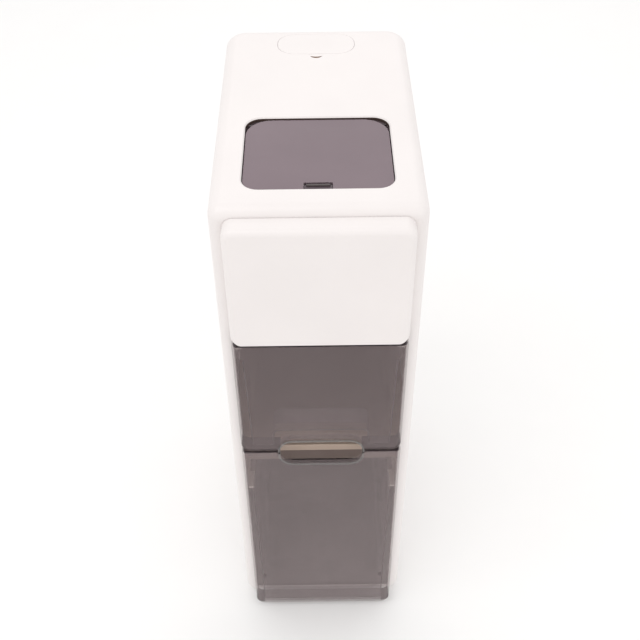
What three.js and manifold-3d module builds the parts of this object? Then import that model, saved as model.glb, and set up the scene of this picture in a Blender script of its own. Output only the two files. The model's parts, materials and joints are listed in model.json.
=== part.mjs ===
// A slim, upright household trash compactor with a top feed lid and two smoked pull-out drawers.
// Waste drops through the lid into a chamber. A screw-driven ram presses it forward, a sliding floor
// lets the pressed block fall into the upper drawer, and the lower drawer is a second bin.
// Millimetres, +Z up, front towards -Y, origin at the middle of the footprint on the floor.

import * as THREE from 'three';
import { mergeVertices } from 'three/addons/utils/BufferGeometryUtils.js';
import Module from 'manifold-3d';

const wasm = await Module();
wasm.setup();

// Clearances
const GAP = 0.3; // between pieces that touch
const SLIDE = 1.0; // beside pieces that slide
const RUN = 0.4; // radial, round a turning or sliding shaft
const SEAM = 1.5; // visible line between a lid or cover and its opening

// Overall
const WIDTH = 268;
const HEIGHT = 864;
const BODY_DEPTH = 450; // from the front frame to the rear cover's face
const FRONT_PROUD = 27; // fascia and drawer fronts, ahead of the body
const RIM_PROUD = 2.5; // handle rim, ahead of the drawer fronts
const WALL = 3; // cabinet mouldings
const TOP_RADIUS = 17;
const FRONT_RADIUS = 16;
const REAR_RADIUS = 30;
const FOOT_HEIGHT = 4;
const FOOT_RADIUS = 11;
const FOOT_INSET = 30;
const STUD_RADIUS = 3;
const STUD_LENGTH = 7;
const BASE_TOP = 36;
const BASE_RADIUS = 18;
const BASE_SILL = 14; // top of the base's front edge, under the lower drawer

// Fronts
const FACE_WIDTH = 234;
const FACE_WALL = 3;
const FACE_EDGE = 8; // rounding down the sides of the fronts
const FACE_LAP = 1.5; // how far the fronts cover the opening's edge
const FASCIA_BOTTOM = 661;
const FASCIA_DROP = 12; // fascia's top below the cabinet's
const FASCIA_RADIUS = 14;
const UPPER_BOTTOM = 441;
const UPPER_TOP = 659.8;
const LOWER_BOTTOM = 10;
const LOWER_TOP = 438;
const FRONT_LOW_RADIUS = 14;
const FRONT_TOP_RADIUS = 5;

// Handle recess, shared by both drawer fronts
const HANDLE_HALF = 60;
const HANDLE_LOW = 414;
const HANDLE_HIGH = 463;
const HANDLE_RIM = 3.5;
const HANDLE_TUNNEL = 14;
const HANDLE_WALL = 2.5;
const POCKET_HALF = 68;
const POCKET_HIGH = 484;
const POCKET_DEPTH = 44;

// Bins
const BIN_WALL = 2.2;
const BIN_LENGTH = 342;
const UPPER_BIN = { floor: 452, rim: 631, halfLow: 98, halfHigh: 102, flange: 111 };
const LOWER_BIN = { floor: 22, rim: 317, halfLow: 100, halfHigh: 103, flange: 113.5 };
const LOWER_BIN_FRONT_RIM = 340;
const LOWER_BIN_STEP = [30, 60]; // where the front rim slopes down to the side rims
const FLANGE_THICK = 2.5;
const RAIL_THICK = 3;
const RAIL_HEIGHT = 14;
const SHELF_TOP = 418;
const SHELF_LIP = 13;
const SHELF_THICK = 4;
const SHELF_APRON = 34; // shelf's front wall, behind the handle recess

// Feed opening and lid
const WINDOW_HALF = 95.4;
const WINDOW_SETBACK = 41;
const WINDOW_LENGTH = 158.6;
const WINDOW_RADIUS = 22;
const LID_DROP = 3; // lid's face below the top
const LID_THICK = 3.2;
const HINGE_INSET = 10; // pin to the window's rear edge
const LID_REAR_RADIUS = 34; // wide enough for the lid to swing up inside the opening's corners
const BARREL_RADIUS = 3.4;
const PIN_RADIUS = 1.4;
const PIN_SEAT = 4; // how far each end of the pin enters the collar
const COLLAR_RIM = 8.6;
const COLLAR_HEIGHT = 21;
const LEDGE_DROP = 13; // gasket ledge below the top's underside
const LEDGE_WIDTH = 9;
const LEDGE_REAR = 20;
const GASKET_INSET = 3;
const GASKET_REAR_INSET = 14;
const GASKET_WIDTH = 5;
const LATCH_HALF = 17.5;
const LATCH_SHOULDER = 2.5; // band's ends inside the tab's
const LATCH_LENGTH = 10;
const LATCH_BAND = 3;
const LATCH_PROUD = 1.8;
const LATCH_TRAVEL = 4;

// Deodoriser at the rear of the top
const FILTER_SETBACK = 368;
const FILTER_HALF = 57;
const FILTER_LENGTH = 60;
const FILTER_RADIUS = 27;
const NOTCH_RADIUS = 10;
const NOTCH_DEPTH = 2;
const FILTER_DEPTH = 61;
const FILTER_WALL = 2.5;
const FILTER_LEDGE = 4; // housing's bore inside the cover's opening
const NOTCH_REACH = 2; // notch's centre ahead of the cover's opening
const TRAY_DEPTH = 6; // hollow in the cartridge's top

// Compaction chamber and ram
const DECK_BOTTOM = 664;
const DECK_THICK = 3;
const CHAMBER_HALF = 90;
const CHAMBER_WALL = 3;
const CHAMBER_LEAD = 1; // chamber's ends behind the window's ends
const CHAMBER_TAIL = 0.4;
const PRESSED_LENGTH = 28; // block left in front of the ram
const RAM_THICK = 12;
const RAM_SKIN = 4;
const SCREW_RADIUS = 8;
const JOURNAL_STEP = 2; // shoulder at the bearing
const TUBE_CLEARANCE = 3; // screw to the tube's bore
const TUBE_WALL = 3;
const NUT_FLANGE = 3; // nut beyond the tube
const NUT_LENGTH = 12;
const ROD_RADIUS = 5;
const ROD_OFFSET = 60;
const ROD_TAIL = 38; // rods beyond the tube's end
const GUIDE_THICK = 14;
const TUBE_SPARE = 14; // tube left behind the guide with the ram forward
const GUIDE_HALF = 80;
const GUIDE_CROWN = 10; // guide block above the tube
const ARCH_EDGE = 12; // metal left round the guide block's two windows
const RAM_RIB = 3;
const BEARING_CHEEK = 9; // bearing block outside its bore
const SCREW_CHAMFER = 2;
const DRIVE_SPACE = 53.4; // bearing block's front to the cabinet's rear wall
const BEARING_THICK = 16;
const BEARING_RING = 10; // bearing's ring outside the journal

// Belt drive
const PULLEY_WIDTH = 14;
const PULLEY_FLANGE = 1.8;
const SCREW_PULLEY_RIM = 16; // groove above the journal
const MOTOR_PULLEY_RIM = 4;
const FLANGE_RISE = 3;
const BELT_THICK = 2;
const MOTOR_DROP = 62.5; // deck's underside down to the motor's axis
const MOTOR_RADIUS = 22;
const MOTOR_LENGTH = 43;
const GEARBOX_RADIUS = 24;
const GEARBOX_LENGTH = 24;
const BRACKET_EDGE = 8; // bracket outside the gearbox
const BRACKET_TO_BELT = 6;
const MOTOR_CAP_LENGTH = 3;

// Sliding chamber floor
const SHUTTER_THICK = 4;
const SHUTTER_LAP = 6; // beyond the chamber's opening, each side
const SHUTTER_CLEAR = 2; // travel past a fully open chamber
const RAIL_LEDGE = 4;
const RACK_X = 82;
const RACK_WIDTH = 8;
const RACK_TAIL = 46; // rack beyond the shutter's rear edge
const RACK_BACK = 1.8; // rack's solid strip above its teeth
const GEAR_MODULE = 1.5;
const PINION_TEETH = 12;
const TOOTH_OUT = 1.2;
const TOOTH_IN = 1.6;
const TOOTH_TIP = 1.0;
const TOOTH_ROOT = 2.2;
const PINION_SETBACK = 24; // pinion axis behind the chamber
const SMALL_MOTOR_RADIUS = 9;
const SMALL_MOTOR_LENGTH = 34;
const SMALL_MOTOR_CHEEK = 4; // small motor's face to the rack

// Service bay and rear cover
const BAY_CLEARANCE = 13.7; // bin's rear to the bay wall
const BAY_WALL_THICK = 3;
const BAY_WALL_BOTTOM = 24;
const BAY_WALL_TOP = 650;
const COVER_THICK = 3;
const COVER_HALF = 102;
const COVER_BOTTOM = 42;
const COVER_DROP = 26; // rear cover's top below the cabinet's
const COVER_BORDER = 14;
const COVER_RADIUS = 8;
const VENT_ROWS = 7;
const VENT_PITCH = 12;
const VENT_HEIGHT = 4;
const VENT_HALF = 30;
const VENT_X = 42;
const VENT_DROP = 40; // lowest vent below the motor's axis
const SCREW_HEAD = 3.3;
const SCREW_SHANK = 1.8;
const HEAD_THICK = 1.5;
const INLET_X = -56;
const INLET_Z = 76;
const INLET_HALF = 14;
const INLET_HEIGHT = 24;
const INLET_LENGTH = 26;
const INLET_WALL = 2;
const INLET_BACK = 6;
const BLADE_LENGTH = 10;
const BLADES = [[-7, -2], [0, 3], [7, -2]];
const BUTTON_RADIUS = 7;
const BUTTON_X = -18;
const BUTTON_LENGTH = 12;
const BOSS_RADIUS = 4;
const BOSS_LENGTH = 8;
const BOSS_INSET = 8;
const BOARD_HALF = 50;
const BOARD_Z = [330, 450];
const BOARD_THICK = 1.6;
const SWITCH_SIZE = [10, 20, 12];
const SWITCH_BUTTON = 4; // square plunger, and its travel above the switch

// Places worked out from the sizes
const WALL_TOP = HEIGHT - WALL;
const FASCIA_TOP = HEIGHT - FASCIA_DROP;
const COVER_TOP = HEIGHT - COVER_DROP;
const COLLAR_BOTTOM = WALL_TOP - COLLAR_HEIGHT;
const COLLAR_LEDGE = WALL_TOP - LEDGE_DROP;
const DEPTH = RIM_PROUD + FRONT_PROUD + BODY_DEPTH;
const FACE_Y = -DEPTH / 2 + RIM_PROUD;
const BODY_FRONT = FACE_Y + FRONT_PROUD;
const BODY_BACK = BODY_FRONT + BODY_DEPTH;
const SHELL_BACK = BODY_BACK - COVER_THICK - GAP;
const INSIDE_HALF = WIDTH / 2 - WALL - GAP;
const OPENING_HALF = FACE_WIDTH / 2 - FACE_LAP;
const INSIDE_FRONT = BODY_FRONT + WALL + GAP;
const BAY_WALL_Y = FACE_Y + FACE_WALL + GAP + BIN_LENGTH + BAY_CLEARANCE;
const WINDOW_FRONT = BODY_FRONT + WINDOW_SETBACK;
const WINDOW_REAR = WINDOW_FRONT + WINDOW_LENGTH;
const DECK_TOP = DECK_BOTTOM + DECK_THICK;
const CHAMBER_Y = [WINDOW_FRONT + CHAMBER_LEAD, WINDOW_REAR + CHAMBER_TAIL];
const RAM_STROKE = CHAMBER_Y[1] - CHAMBER_Y[0] - PRESSED_LENGTH;
const SHUTTER_TRAVEL = CHAMBER_Y[1] - CHAMBER_Y[0] + SHUTTER_CLEAR;
const RAM_HALF_HEIGHT = (COLLAR_BOTTOM - DECK_TOP) / 2 - SLIDE;
const JOURNAL_RADIUS = SCREW_RADIUS - JOURNAL_STEP;
const TUBE_BORE = SCREW_RADIUS + TUBE_CLEARANCE;
const TUBE_RADIUS = TUBE_BORE + TUBE_WALL;
const NUT_RADIUS = TUBE_RADIUS + NUT_FLANGE;
const BEARING_RADIUS = JOURNAL_RADIUS + BEARING_RING;
const SCREW_PULLEY_RADIUS = JOURNAL_RADIUS + SCREW_PULLEY_RIM;
const MOTOR_PULLEY_RADIUS = JOURNAL_RADIUS + MOTOR_PULLEY_RIM;
const TUBE_LENGTH = RAM_STROKE + GUIDE_THICK + TUBE_SPARE;
const ROD_LENGTH = TUBE_LENGTH + ROD_TAIL;
const RAM_Z = (COLLAR_BOTTOM + DECK_TOP) / 2;
const RAM_Y = CHAMBER_Y[1] + SLIDE;
const GUIDE_Y = RAM_Y + RAM_THICK + 3 * SLIDE;
const BLOCK_Y = SHELL_BACK - WALL - DRIVE_SPACE;
const BRACKET_Y = BLOCK_Y + BEARING_THICK + GAP;
const PULLEY_Y = BRACKET_Y + BRACKET_TO_BELT;
const MOTOR_Z = DECK_BOTTOM - MOTOR_DROP;
const BELT_RISE = RAM_Z - MOTOR_Z;
const SHUTTER_HALF = CHAMBER_HALF + SHUTTER_LAP;
const SHUTTER_TOP = DECK_BOTTOM - GAP;
const PITCH_RADIUS = (GEAR_MODULE * PINION_TEETH) / 2;
const TOOTH_PITCH = Math.PI * GEAR_MODULE;
const RACK_ROOT = SHUTTER_TOP - SHUTTER_THICK - GAP - RACK_BACK;
const PINION_Y = CHAMBER_Y[1] + PINION_SETBACK;
const PINION_Z = RACK_ROOT - TOOTH_IN - PITCH_RADIUS;
const FILTER_Y = BODY_FRONT + FILTER_SETBACK + FILTER_LENGTH / 2;
const SMALL_MOTOR_FACE = RACK_X - RACK_WIDTH / 2 - SMALL_MOTOR_CHEEK;

const FINISH = {
  white: [0xf3eae7, 0.32, 0],
  ivory: [0xe6dbd3, 0.45, 0],
  smoked: [0x70666a, 0.12, 0],
  lid: [0x8c8085, 0.1, 0],
  black: [0x1c1a1b, 0.4, 0],
  rubber: [0x242324, 0.85, 0],
  steel: [0xb9bbbd, 0.3, 1],
  zinc: [0xa8adb0, 0.45, 1],
  brass: [0xb99a55, 0.3, 1],
  charcoal: [0x3a3a3c, 0.95, 0],
  board: [0x2f5b3c, 0.5, 0],
};

// Geometry helpers

function solid(geometry) {
  geometry.deleteAttribute('normal');
  geometry.deleteAttribute('uv');
  const merged = mergeVertices(geometry, 1e-4);
  const corners = merged.index.array;
  const kept = [];
  for (let i = 0; i < corners.length; i += 3) {
    const [a, b, c] = [corners[i], corners[i + 1], corners[i + 2]];
    if (a !== b && b !== c && c !== a) kept.push(a, b, c);
  }
  const mesh = new wasm.Mesh({
    numProp: 3,
    vertProperties: Float32Array.from(merged.attributes.position.array),
    triVerts: Uint32Array.from(kept),
  });
  return new wasm.Manifold(mesh);
}

function block([x0, x1], [y0, y1], [z0, z1]) {
  const geometry = new THREE.BoxGeometry(x1 - x0, y1 - y0, z1 - z0);
  geometry.translate((x0 + x1) / 2, (y0 + y1) / 2, (z0 + z1) / 2);
  return solid(geometry);
}

// A shape is drawn in (x, y) for a prism along z, (x, z) along y, and (y, z) along x.
function prism(shape, axis, from, to, steps = 4) {
  const options = { depth: to - from, bevelEnabled: false, curveSegments: steps };
  const geometry = new THREE.ExtrudeGeometry(shape, options);
  const turn = new THREE.Matrix4();
  if (axis === 'x') {
    turn.set(0, 0, 1, from, 1, 0, 0, 0, 0, 1, 0, 0, 0, 0, 0, 1);
  } else if (axis === 'y') {
    turn.set(1, 0, 0, 0, 0, 0, -1, to, 0, 1, 0, 0, 0, 0, 0, 1);
  } else {
    turn.makeTranslation(0, 0, from);
  }
  geometry.applyMatrix4(turn);
  return solid(geometry);
}

// A round bar along an axis, at the other two coordinates in order.
function bar(axis, radius, [from, to], [a, b], sides = 24) {
  const geometry = new THREE.CylinderGeometry(radius, radius, to - from, sides);
  if (axis === 'x') geometry.rotateZ(-Math.PI / 2);
  if (axis === 'z') geometry.rotateX(Math.PI / 2);
  const middle = (from + to) / 2;
  if (axis === 'x') geometry.translate(middle, a, b);
  if (axis === 'y') geometry.translate(a, middle, b);
  if (axis === 'z') geometry.translate(a, b, middle);
  return solid(geometry);
}

// A turned piece along y from a profile of [radius, y] points.
function turned(profile, sides = 24) {
  const points = profile.map(([radius, y]) => new THREE.Vector2(radius, y));
  return solid(new THREE.LatheGeometry(points, sides));
}

function polygon(points) {
  return new THREE.Shape(points.map(([a, b]) => new THREE.Vector2(a, b)));
}

// Corner radii run from the low corner round through high x, high y.
function roundedRect(x0, x1, y0, y1, radii) {
  const [a, b, c, d] = Array.isArray(radii) ? radii : [radii, radii, radii, radii];
  const shape = new THREE.Shape();
  shape.moveTo(x0 + a, y0);
  shape.lineTo(x1 - b, y0);
  if (b > 0) shape.absarc(x1 - b, y0 + b, b, -Math.PI / 2, 0, false);
  shape.lineTo(x1, y1 - c);
  if (c > 0) shape.absarc(x1 - c, y1 - c, c, 0, Math.PI / 2, false);
  shape.lineTo(x0 + d, y1);
  if (d > 0) shape.absarc(x0 + d, y1 - d, d, Math.PI / 2, Math.PI, false);
  shape.lineTo(x0, y0 + a);
  if (a > 0) shape.absarc(x0 + a, y0 + a, a, Math.PI, 1.5 * Math.PI, false);
  return shape;
}

const root = new THREE.Group();

function place(parent, name, body, [color, roughness, metalness]) {
  const mesh = body.getMesh();
  const geometry = new THREE.BufferGeometry();
  geometry.setAttribute('position', new THREE.BufferAttribute(mesh.vertProperties, 3));
  geometry.setIndex(new THREE.BufferAttribute(mesh.triVerts, 1));
  geometry.computeVertexNormals();
  const material = new THREE.MeshStandardMaterial({ color, roughness, metalness });
  const piece = new THREE.Mesh(geometry, material);
  piece.name = name;
  parent.add(piece);
  return piece;
}

function groupAt(parent, x, y, z) {
  const group = new THREE.Group();
  group.position.set(x, y, z);
  parent.add(group);
  return group;
}

// Cabinet

// The cabinet's outer form, shrunk by an inset, between two heights.
function cabinetForm(inset, low, high, lowRadius, highRadius) {
  const half = WIDTH / 2 - inset;
  const front = BODY_FRONT + inset;
  const back = SHELL_BACK - inset;
  const r0 = Math.max(lowRadius - inset, 0);
  const r1 = Math.max(highRadius - inset, 0);
  const corner = FRONT_RADIUS - inset;
  const rear = REAR_RADIUS - inset;
  const planRadii = [corner, corner, rear, rear];
  const plan = prism(roundedRect(-half, half, front, back, planRadii), 'z', low, high);
  const face = prism(roundedRect(-half, half, low, high, [r0, r0, r1, r1]), 'y', front, back);
  const side = prism(roundedRect(front, back, low, high, [r0, r0, r1, r1]), 'x', -half, half);
  return plan.intersect(face).intersect(side);
}

// What of a piece fits inside the cabinet's walls.
function insideCabinet(piece) {
  return piece.intersect(cabinetForm(WALL + GAP, FOOT_HEIGHT, HEIGHT, 0, TOP_RADIUS));
}

function windowOutline(inset, rearInset = inset, rearRadius = WINDOW_RADIUS - inset) {
  const half = WINDOW_HALF - inset;
  const front = Math.max(WINDOW_RADIUS - inset, FRONT_TOP_RADIUS);
  const rear = Math.max(rearRadius, FRONT_TOP_RADIUS);
  const radii = [front, front, rear, rear];
  return roundedRect(-half, half, WINDOW_FRONT + inset, WINDOW_REAR - rearInset, radii);
}

function filterOutline(grow) {
  const half = FILTER_HALF + grow;
  const reach = FILTER_LENGTH / 2 + grow;
  return roundedRect(-half, half, -reach, reach, FILTER_RADIUS + grow);
}

function coverScrewPlaces() {
  const x = COVER_HALF - COVER_BORDER / 2;
  const low = COVER_BOTTOM + COVER_BORDER / 2;
  const high = COVER_TOP - COVER_BORDER / 2;
  return [[-x, low], [x, low], [-x, high], [x, high]];
}

function outerShell() {
  const low = BASE_TOP + GAP;
  const outside = cabinetForm(0, low, HEIGHT, 0, TOP_RADIUS);
  const inside = cabinetForm(WALL, low - 1, WALL_TOP, 0, TOP_RADIUS);
  const front = [BODY_FRONT - 1, BODY_FRONT + WALL + 1];
  const opening = block([-OPENING_HALF, OPENING_HALF], front, [low - 1, FASCIA_BOTTOM - 6]);
  const feed = prism(windowOutline(0), 'z', WALL_TOP - 1, HEIGHT + 1, 4);
  const cover = prism(filterOutline(SEAM / 2), 'z', WALL_TOP - 1, HEIGHT + 1, 6);
  const filter = cover.translate([0, FILTER_Y, 0]);
  const notchY = FILTER_Y - FILTER_LENGTH / 2 - NOTCH_REACH;
  const notch = bar('z', NOTCH_RADIUS, [HEIGHT - NOTCH_DEPTH, HEIGHT + 1], [0, notchY]);
  const half = COVER_HALF - COVER_BORDER;
  const heights = [COVER_BOTTOM + COVER_BORDER, COVER_TOP - COVER_BORDER];
  const service = block([-half, half], [SHELL_BACK - WALL - 1, SHELL_BACK + 1], heights);
  let shell = outside.subtract(inside).subtract(opening).subtract(feed);
  shell = shell.subtract(filter).subtract(notch).subtract(service);
  for (const [x, z] of coverScrewPlaces()) {
    const span = [SHELL_BACK - WALL - 1, SHELL_BACK + 1];
    shell = shell.subtract(bar('y', SCREW_SHANK + GAP, span, [x, z], 16));
  }
  return shell;
}

function footPlaces() {
  const x = WIDTH / 2 - FOOT_INSET;
  const front = BODY_FRONT + FOOT_INSET;
  const rear = SHELL_BACK - FOOT_INSET;
  return {
    front_left: [-x, front],
    front_right: [x, front],
    rear_left: [-x, rear],
    rear_right: [x, rear],
  };
}

function basePlinth() {
  const floor = FOOT_HEIGHT + WALL + 1;
  const outside = cabinetForm(0, FOOT_HEIGHT, BASE_TOP + BASE_RADIUS, BASE_RADIUS, 0);
  const inside = cabinetForm(WALL, floor, BASE_TOP + BASE_RADIUS + 1, BASE_RADIUS, 0);
  const above = block([-WIDTH, WIDTH], [-DEPTH, DEPTH], [BASE_TOP, HEIGHT]);
  const mouth = block([-OPENING_HALF, OPENING_HALF], [BODY_FRONT - 1, INSIDE_FRONT], [BASE_SILL, HEIGHT]);
  let plinth = outside.subtract(inside).subtract(above).subtract(mouth);
  for (const [x, y] of Object.values(footPlaces())) {
    plinth = plinth.subtract(bar('z', STUD_RADIUS + GAP, [0, floor + 1], [x, y], 20));
  }
  return plinth;
}

function foot() {
  const height = FOOT_HEIGHT - GAP;
  const pad = bar('z', FOOT_RADIUS, [0, height], [0, 0], 24);
  return pad.add(bar('z', STUD_RADIUS, [height - 1, height + STUD_LENGTH], [0, 0], 20));
}

// A front: a shallow tray with rounded sides, open at the back.
function frontTray(low, high, radii, topEdge, inset = 0) {
  const half = FACE_WIDTH / 2 - inset;
  const back = inset ? FRONT_PROUD + 1 : FRONT_PROUD - GAP;
  const edge = FACE_EDGE - inset;
  const shrunk = radii.map((radius) => Math.max(radius - inset, 1));
  const face = prism(roundedRect(-half, half, low + inset, high - inset, shrunk), 'y', inset, back);
  const plan = prism(roundedRect(-half, half, inset, back, [edge, edge, 0, 0]), 'z', low, high);
  const top = Math.max(topEdge - inset, 0);
  const side = prism(roundedRect(inset, back, low, high - inset, [0, 0, 0, top]), 'x', -half, half);
  return face.intersect(plan).intersect(side);
}

function hollowTray(low, high, radii, topEdge) {
  return frontTray(low, high, radii, topEdge).subtract(frontTray(low, high, radii, topEdge, FACE_WALL));
}

function frontFascia() {
  return hollowTray(FASCIA_BOTTOM, FASCIA_TOP, Array(4).fill(FASCIA_RADIUS), FACE_EDGE);
}

function handleOutline(grow) {
  const half = HANDLE_HALF + grow;
  const radius = (HANDLE_HIGH - HANDLE_LOW) / 2 + grow;
  return roundedRect(-half, half, HANDLE_LOW - grow, HANDLE_HIGH + grow, radius);
}

function drawerFront(low, high, radii) {
  const rim = prism(handleOutline(HANDLE_RIM), 'y', -RIM_PROUD, FACE_WALL - 1);
  const tunnel = prism(handleOutline(HANDLE_WALL), 'y', FACE_WALL - 1, HANDLE_TUNNEL);
  const span = block([-FACE_WIDTH, FACE_WIDTH], [-RIM_PROUD - 1, FRONT_PROUD], [low, high]);
  const handle = rim.add(tunnel).intersect(span);
  const hole = prism(handleOutline(0), 'y', -RIM_PROUD - 1, FRONT_PROUD + 1);
  return hollowTray(low, high, radii, 0).add(handle).subtract(hole);
}

// Half width of a bin's drafted wall, at a height.
function binHalf(bin, z) {
  const share = (z - bin.floor) / (bin.rim - bin.floor);
  return bin.halfLow + share * (bin.halfHigh - bin.halfLow);
}

// A bin's outside, or with an inset its inside. A bin is open at the front, where its drawer front
// closes it.
function binForm(bin, top, inset) {
  const low = bin.floor + inset;
  const grow = inset ? 0 : BIN_WALL;
  const lowHalf = binHalf(bin, low) + grow;
  const highHalf = binHalf(bin, top) + grow;
  const section = polygon([[-lowHalf, low], [lowHalf, low], [highHalf, top], [-highHalf, top]]);
  const near = FACE_WALL + GAP - inset;
  return prism(section, 'y', near, FACE_WALL + GAP + BIN_LENGTH - inset);
}

function binFlanges(bin, from) {
  const wall = binHalf(bin, bin.rim - FLANGE_THICK) + BIN_WALL / 2;
  const span = [from, FACE_WALL + GAP + BIN_LENGTH];
  const heights = [bin.rim - FLANGE_THICK, bin.rim];
  return block([wall, bin.flange], span, heights).add(block([-bin.flange, -wall], span, heights));
}

function pocketForm(grow) {
  const half = POCKET_HALF + grow;
  return block([-half, half], [0, POCKET_DEPTH + grow], [HANDLE_LOW, POCKET_HIGH + grow]);
}

function upperBin() {
  const outside = binForm(UPPER_BIN, UPPER_BIN.rim, 0);
  const inside = binForm(UPPER_BIN, UPPER_BIN.rim + BIN_WALL, BIN_WALL);
  const body = outside.subtract(inside).subtract(pocketForm(BIN_WALL + GAP));
  return body.add(binFlanges(UPPER_BIN, FACE_EDGE));
}

// The hood over the finger pocket, a moulding of its own set into the upper bin's floor.
function gripHood() {
  const shell = pocketForm(BIN_WALL).subtract(pocketForm(0));
  return shell.intersect(binForm(UPPER_BIN, UPPER_BIN.rim, 0));
}

function lowerBin() {
  const [near, far] = LOWER_BIN_STEP;
  const end = FACE_WALL + GAP + BIN_LENGTH;
  const { floor, rim } = LOWER_BIN;
  const sides = [
    [0, floor],
    [end, floor],
    [end, rim],
    [far, rim],
    [near, LOWER_BIN_FRONT_RIM],
    [0, LOWER_BIN_FRONT_RIM],
  ];
  const envelope = prism(polygon(sides), 'x', -WIDTH, WIDTH);
  const outside = binForm(LOWER_BIN, LOWER_BIN_FRONT_RIM, 0).intersect(envelope);
  const inside = binForm(LOWER_BIN, LOWER_BIN_FRONT_RIM + BIN_WALL, BIN_WALL);
  return outside.subtract(inside).add(binFlanges(LOWER_BIN, far));
}

// A rail under a bin's side flange; side is -1 or 1.
function drawerRail(bin, side) {
  const top = bin.rim - FLANGE_THICK - GAP;
  const inner = binHalf(bin, top) + BIN_WALL + SLIDE;
  const web = INSIDE_HALF - RAIL_THICK;
  const outline = [
    [INSIDE_HALF, top - RAIL_HEIGHT],
    [INSIDE_HALF, top],
    [inner, top],
    [inner, top - RAIL_THICK],
    [web, top - RAIL_THICK],
    [web, top - RAIL_HEIGHT],
  ];
  const section = polygon(outline.map(([x, z]) => [side * x, z]));
  return insideCabinet(prism(section, 'y', INSIDE_FRONT + GAP, BAY_WALL_Y - GAP));
}

function dividerShelf() {
  const span = [INSIDE_FRONT + GAP, BAY_WALL_Y - GAP];
  const plate = block([-INSIDE_HALF, INSIDE_HALF], span, [SHELF_TOP - SHELF_LIP, SHELF_TOP]);
  const low = SHELF_TOP - SHELF_LIP - 1;
  const inner = INSIDE_HALF - SHELF_THICK;
  const hollowSpan = [span[0] + SHELF_THICK, span[1] - SHELF_THICK];
  const hollow = block([-inner, inner], hollowSpan, [low, SHELF_TOP - SHELF_THICK]);
  const apronSpan = [span[0], span[0] + SHELF_THICK];
  const apron = block([-INSIDE_HALF, INSIDE_HALF], apronSpan, [SHELF_TOP - SHELF_APRON, SHELF_TOP]);
  return insideCabinet(plate.subtract(hollow).add(apron));
}

function bayWall() {
  const face = BAY_WALL_Y + BAY_WALL_THICK;
  let wall = block([-INSIDE_HALF, INSIDE_HALF], [BAY_WALL_Y, face], [BAY_WALL_BOTTOM, BAY_WALL_TOP]);
  for (const [x, z] of boardCorners()) {
    wall = wall.add(bar('y', BOSS_RADIUS, [BAY_WALL_Y, face + BOSS_LENGTH], [x, z], 16));
  }
  return wall;
}

// Feed opening and lid

function throatCollar(pinY, pinZ) {
  const outer = windowOutline(-COLLAR_RIM);
  const ring = prism(outer, 'z', COLLAR_BOTTOM, WALL_TOP - GAP, 4);
  const upper = prism(windowOutline(0), 'z', COLLAR_LEDGE, HEIGHT, 4);
  const lower = prism(windowOutline(LEDGE_WIDTH, LEDGE_REAR), 'z', COLLAR_BOTTOM - 1, HEIGHT, 4);
  const reach = WINDOW_HALF + PIN_SEAT + GAP;
  const seat = bar('x', PIN_RADIUS + RUN, [-reach, reach], [pinY, pinZ], 20);
  return ring.subtract(upper).subtract(lower).subtract(seat);
}

function lidGasket(top) {
  const low = COLLAR_LEDGE + GAP;
  const ring = prism(windowOutline(GASKET_INSET, GASKET_REAR_INSET), 'z', low, top, 4);
  const inner = windowOutline(GASKET_INSET + GASKET_WIDTH, GASKET_REAR_INSET + GASKET_WIDTH);
  return ring.subtract(prism(inner, 'z', low - 1, top + 1, 4));
}

// In the lid's own frame: the pin's axis is the origin.
function lidWindow(pinY, bottom) {
  const outline = windowOutline(SEAM, SEAM, LID_REAR_RADIUS);
  const plate = prism(outline, 'z', bottom, bottom + LID_THICK, 6).translate([0, -pinY, 0]);
  const half = WINDOW_HALF - WINDOW_RADIUS;
  const barrel = bar('x', BARREL_RADIUS, [-half, half], [0, 0], 20);
  const bore = bar('x', PIN_RADIUS + RUN, [-WIDTH, WIDTH], [0, 0], 20);
  const front = WINDOW_FRONT - pinY;
  const reach = SEAM + LATCH_LENGTH + LATCH_TRAVEL + SLIDE;
  const side = LATCH_HALF + GAP;
  const notch = block([-side, side], [front, front + reach], [bottom - 1, bottom + LID_THICK + 1]);
  return plate.add(barrel).subtract(bore).subtract(notch);
}

function lidLatch(pinY, bottom) {
  const front = WINDOW_FRONT - pinY + SEAM;
  const rear = front + LATCH_LENGTH;
  const base = block([-LATCH_HALF, LATCH_HALF], [front, rear], [bottom, bottom + LID_THICK]);
  const top = bottom + LID_THICK + LATCH_PROUD;
  const half = LATCH_HALF - LATCH_SHOULDER;
  return base.add(block([-half, half], [rear - LATCH_BAND, rear], [bottom + 1, top]));
}

// Deodoriser, in a frame at its centre, with z from the floor

function filterHousing() {
  const low = WALL_TOP - FILTER_DEPTH;
  const cup = prism(filterOutline(SEAM / 2 + FILTER_WALL), 'z', low, WALL_TOP - GAP, 4);
  const inside = prism(filterOutline(-FILTER_LEDGE), 'z', low + FILTER_WALL, WALL_TOP, 4);
  return cup.subtract(inside);
}

function filterCartridge() {
  const low = WALL_TOP - FILTER_DEPTH + FILTER_WALL + GAP;
  const high = WALL_TOP - GAP;
  const body = prism(filterOutline(-FILTER_LEDGE - SLIDE), 'z', low, high, 4);
  const rim = FILTER_LEDGE + SLIDE + FILTER_WALL;
  const tray = prism(filterOutline(-rim), 'z', high - TRAY_DEPTH, high + 1, 4);
  return body.subtract(tray);
}

function filterCover() {
  return prism(filterOutline(-SEAM / 2), 'z', WALL_TOP, HEIGHT, 6);
}

// Chamber, ram and drive

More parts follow.
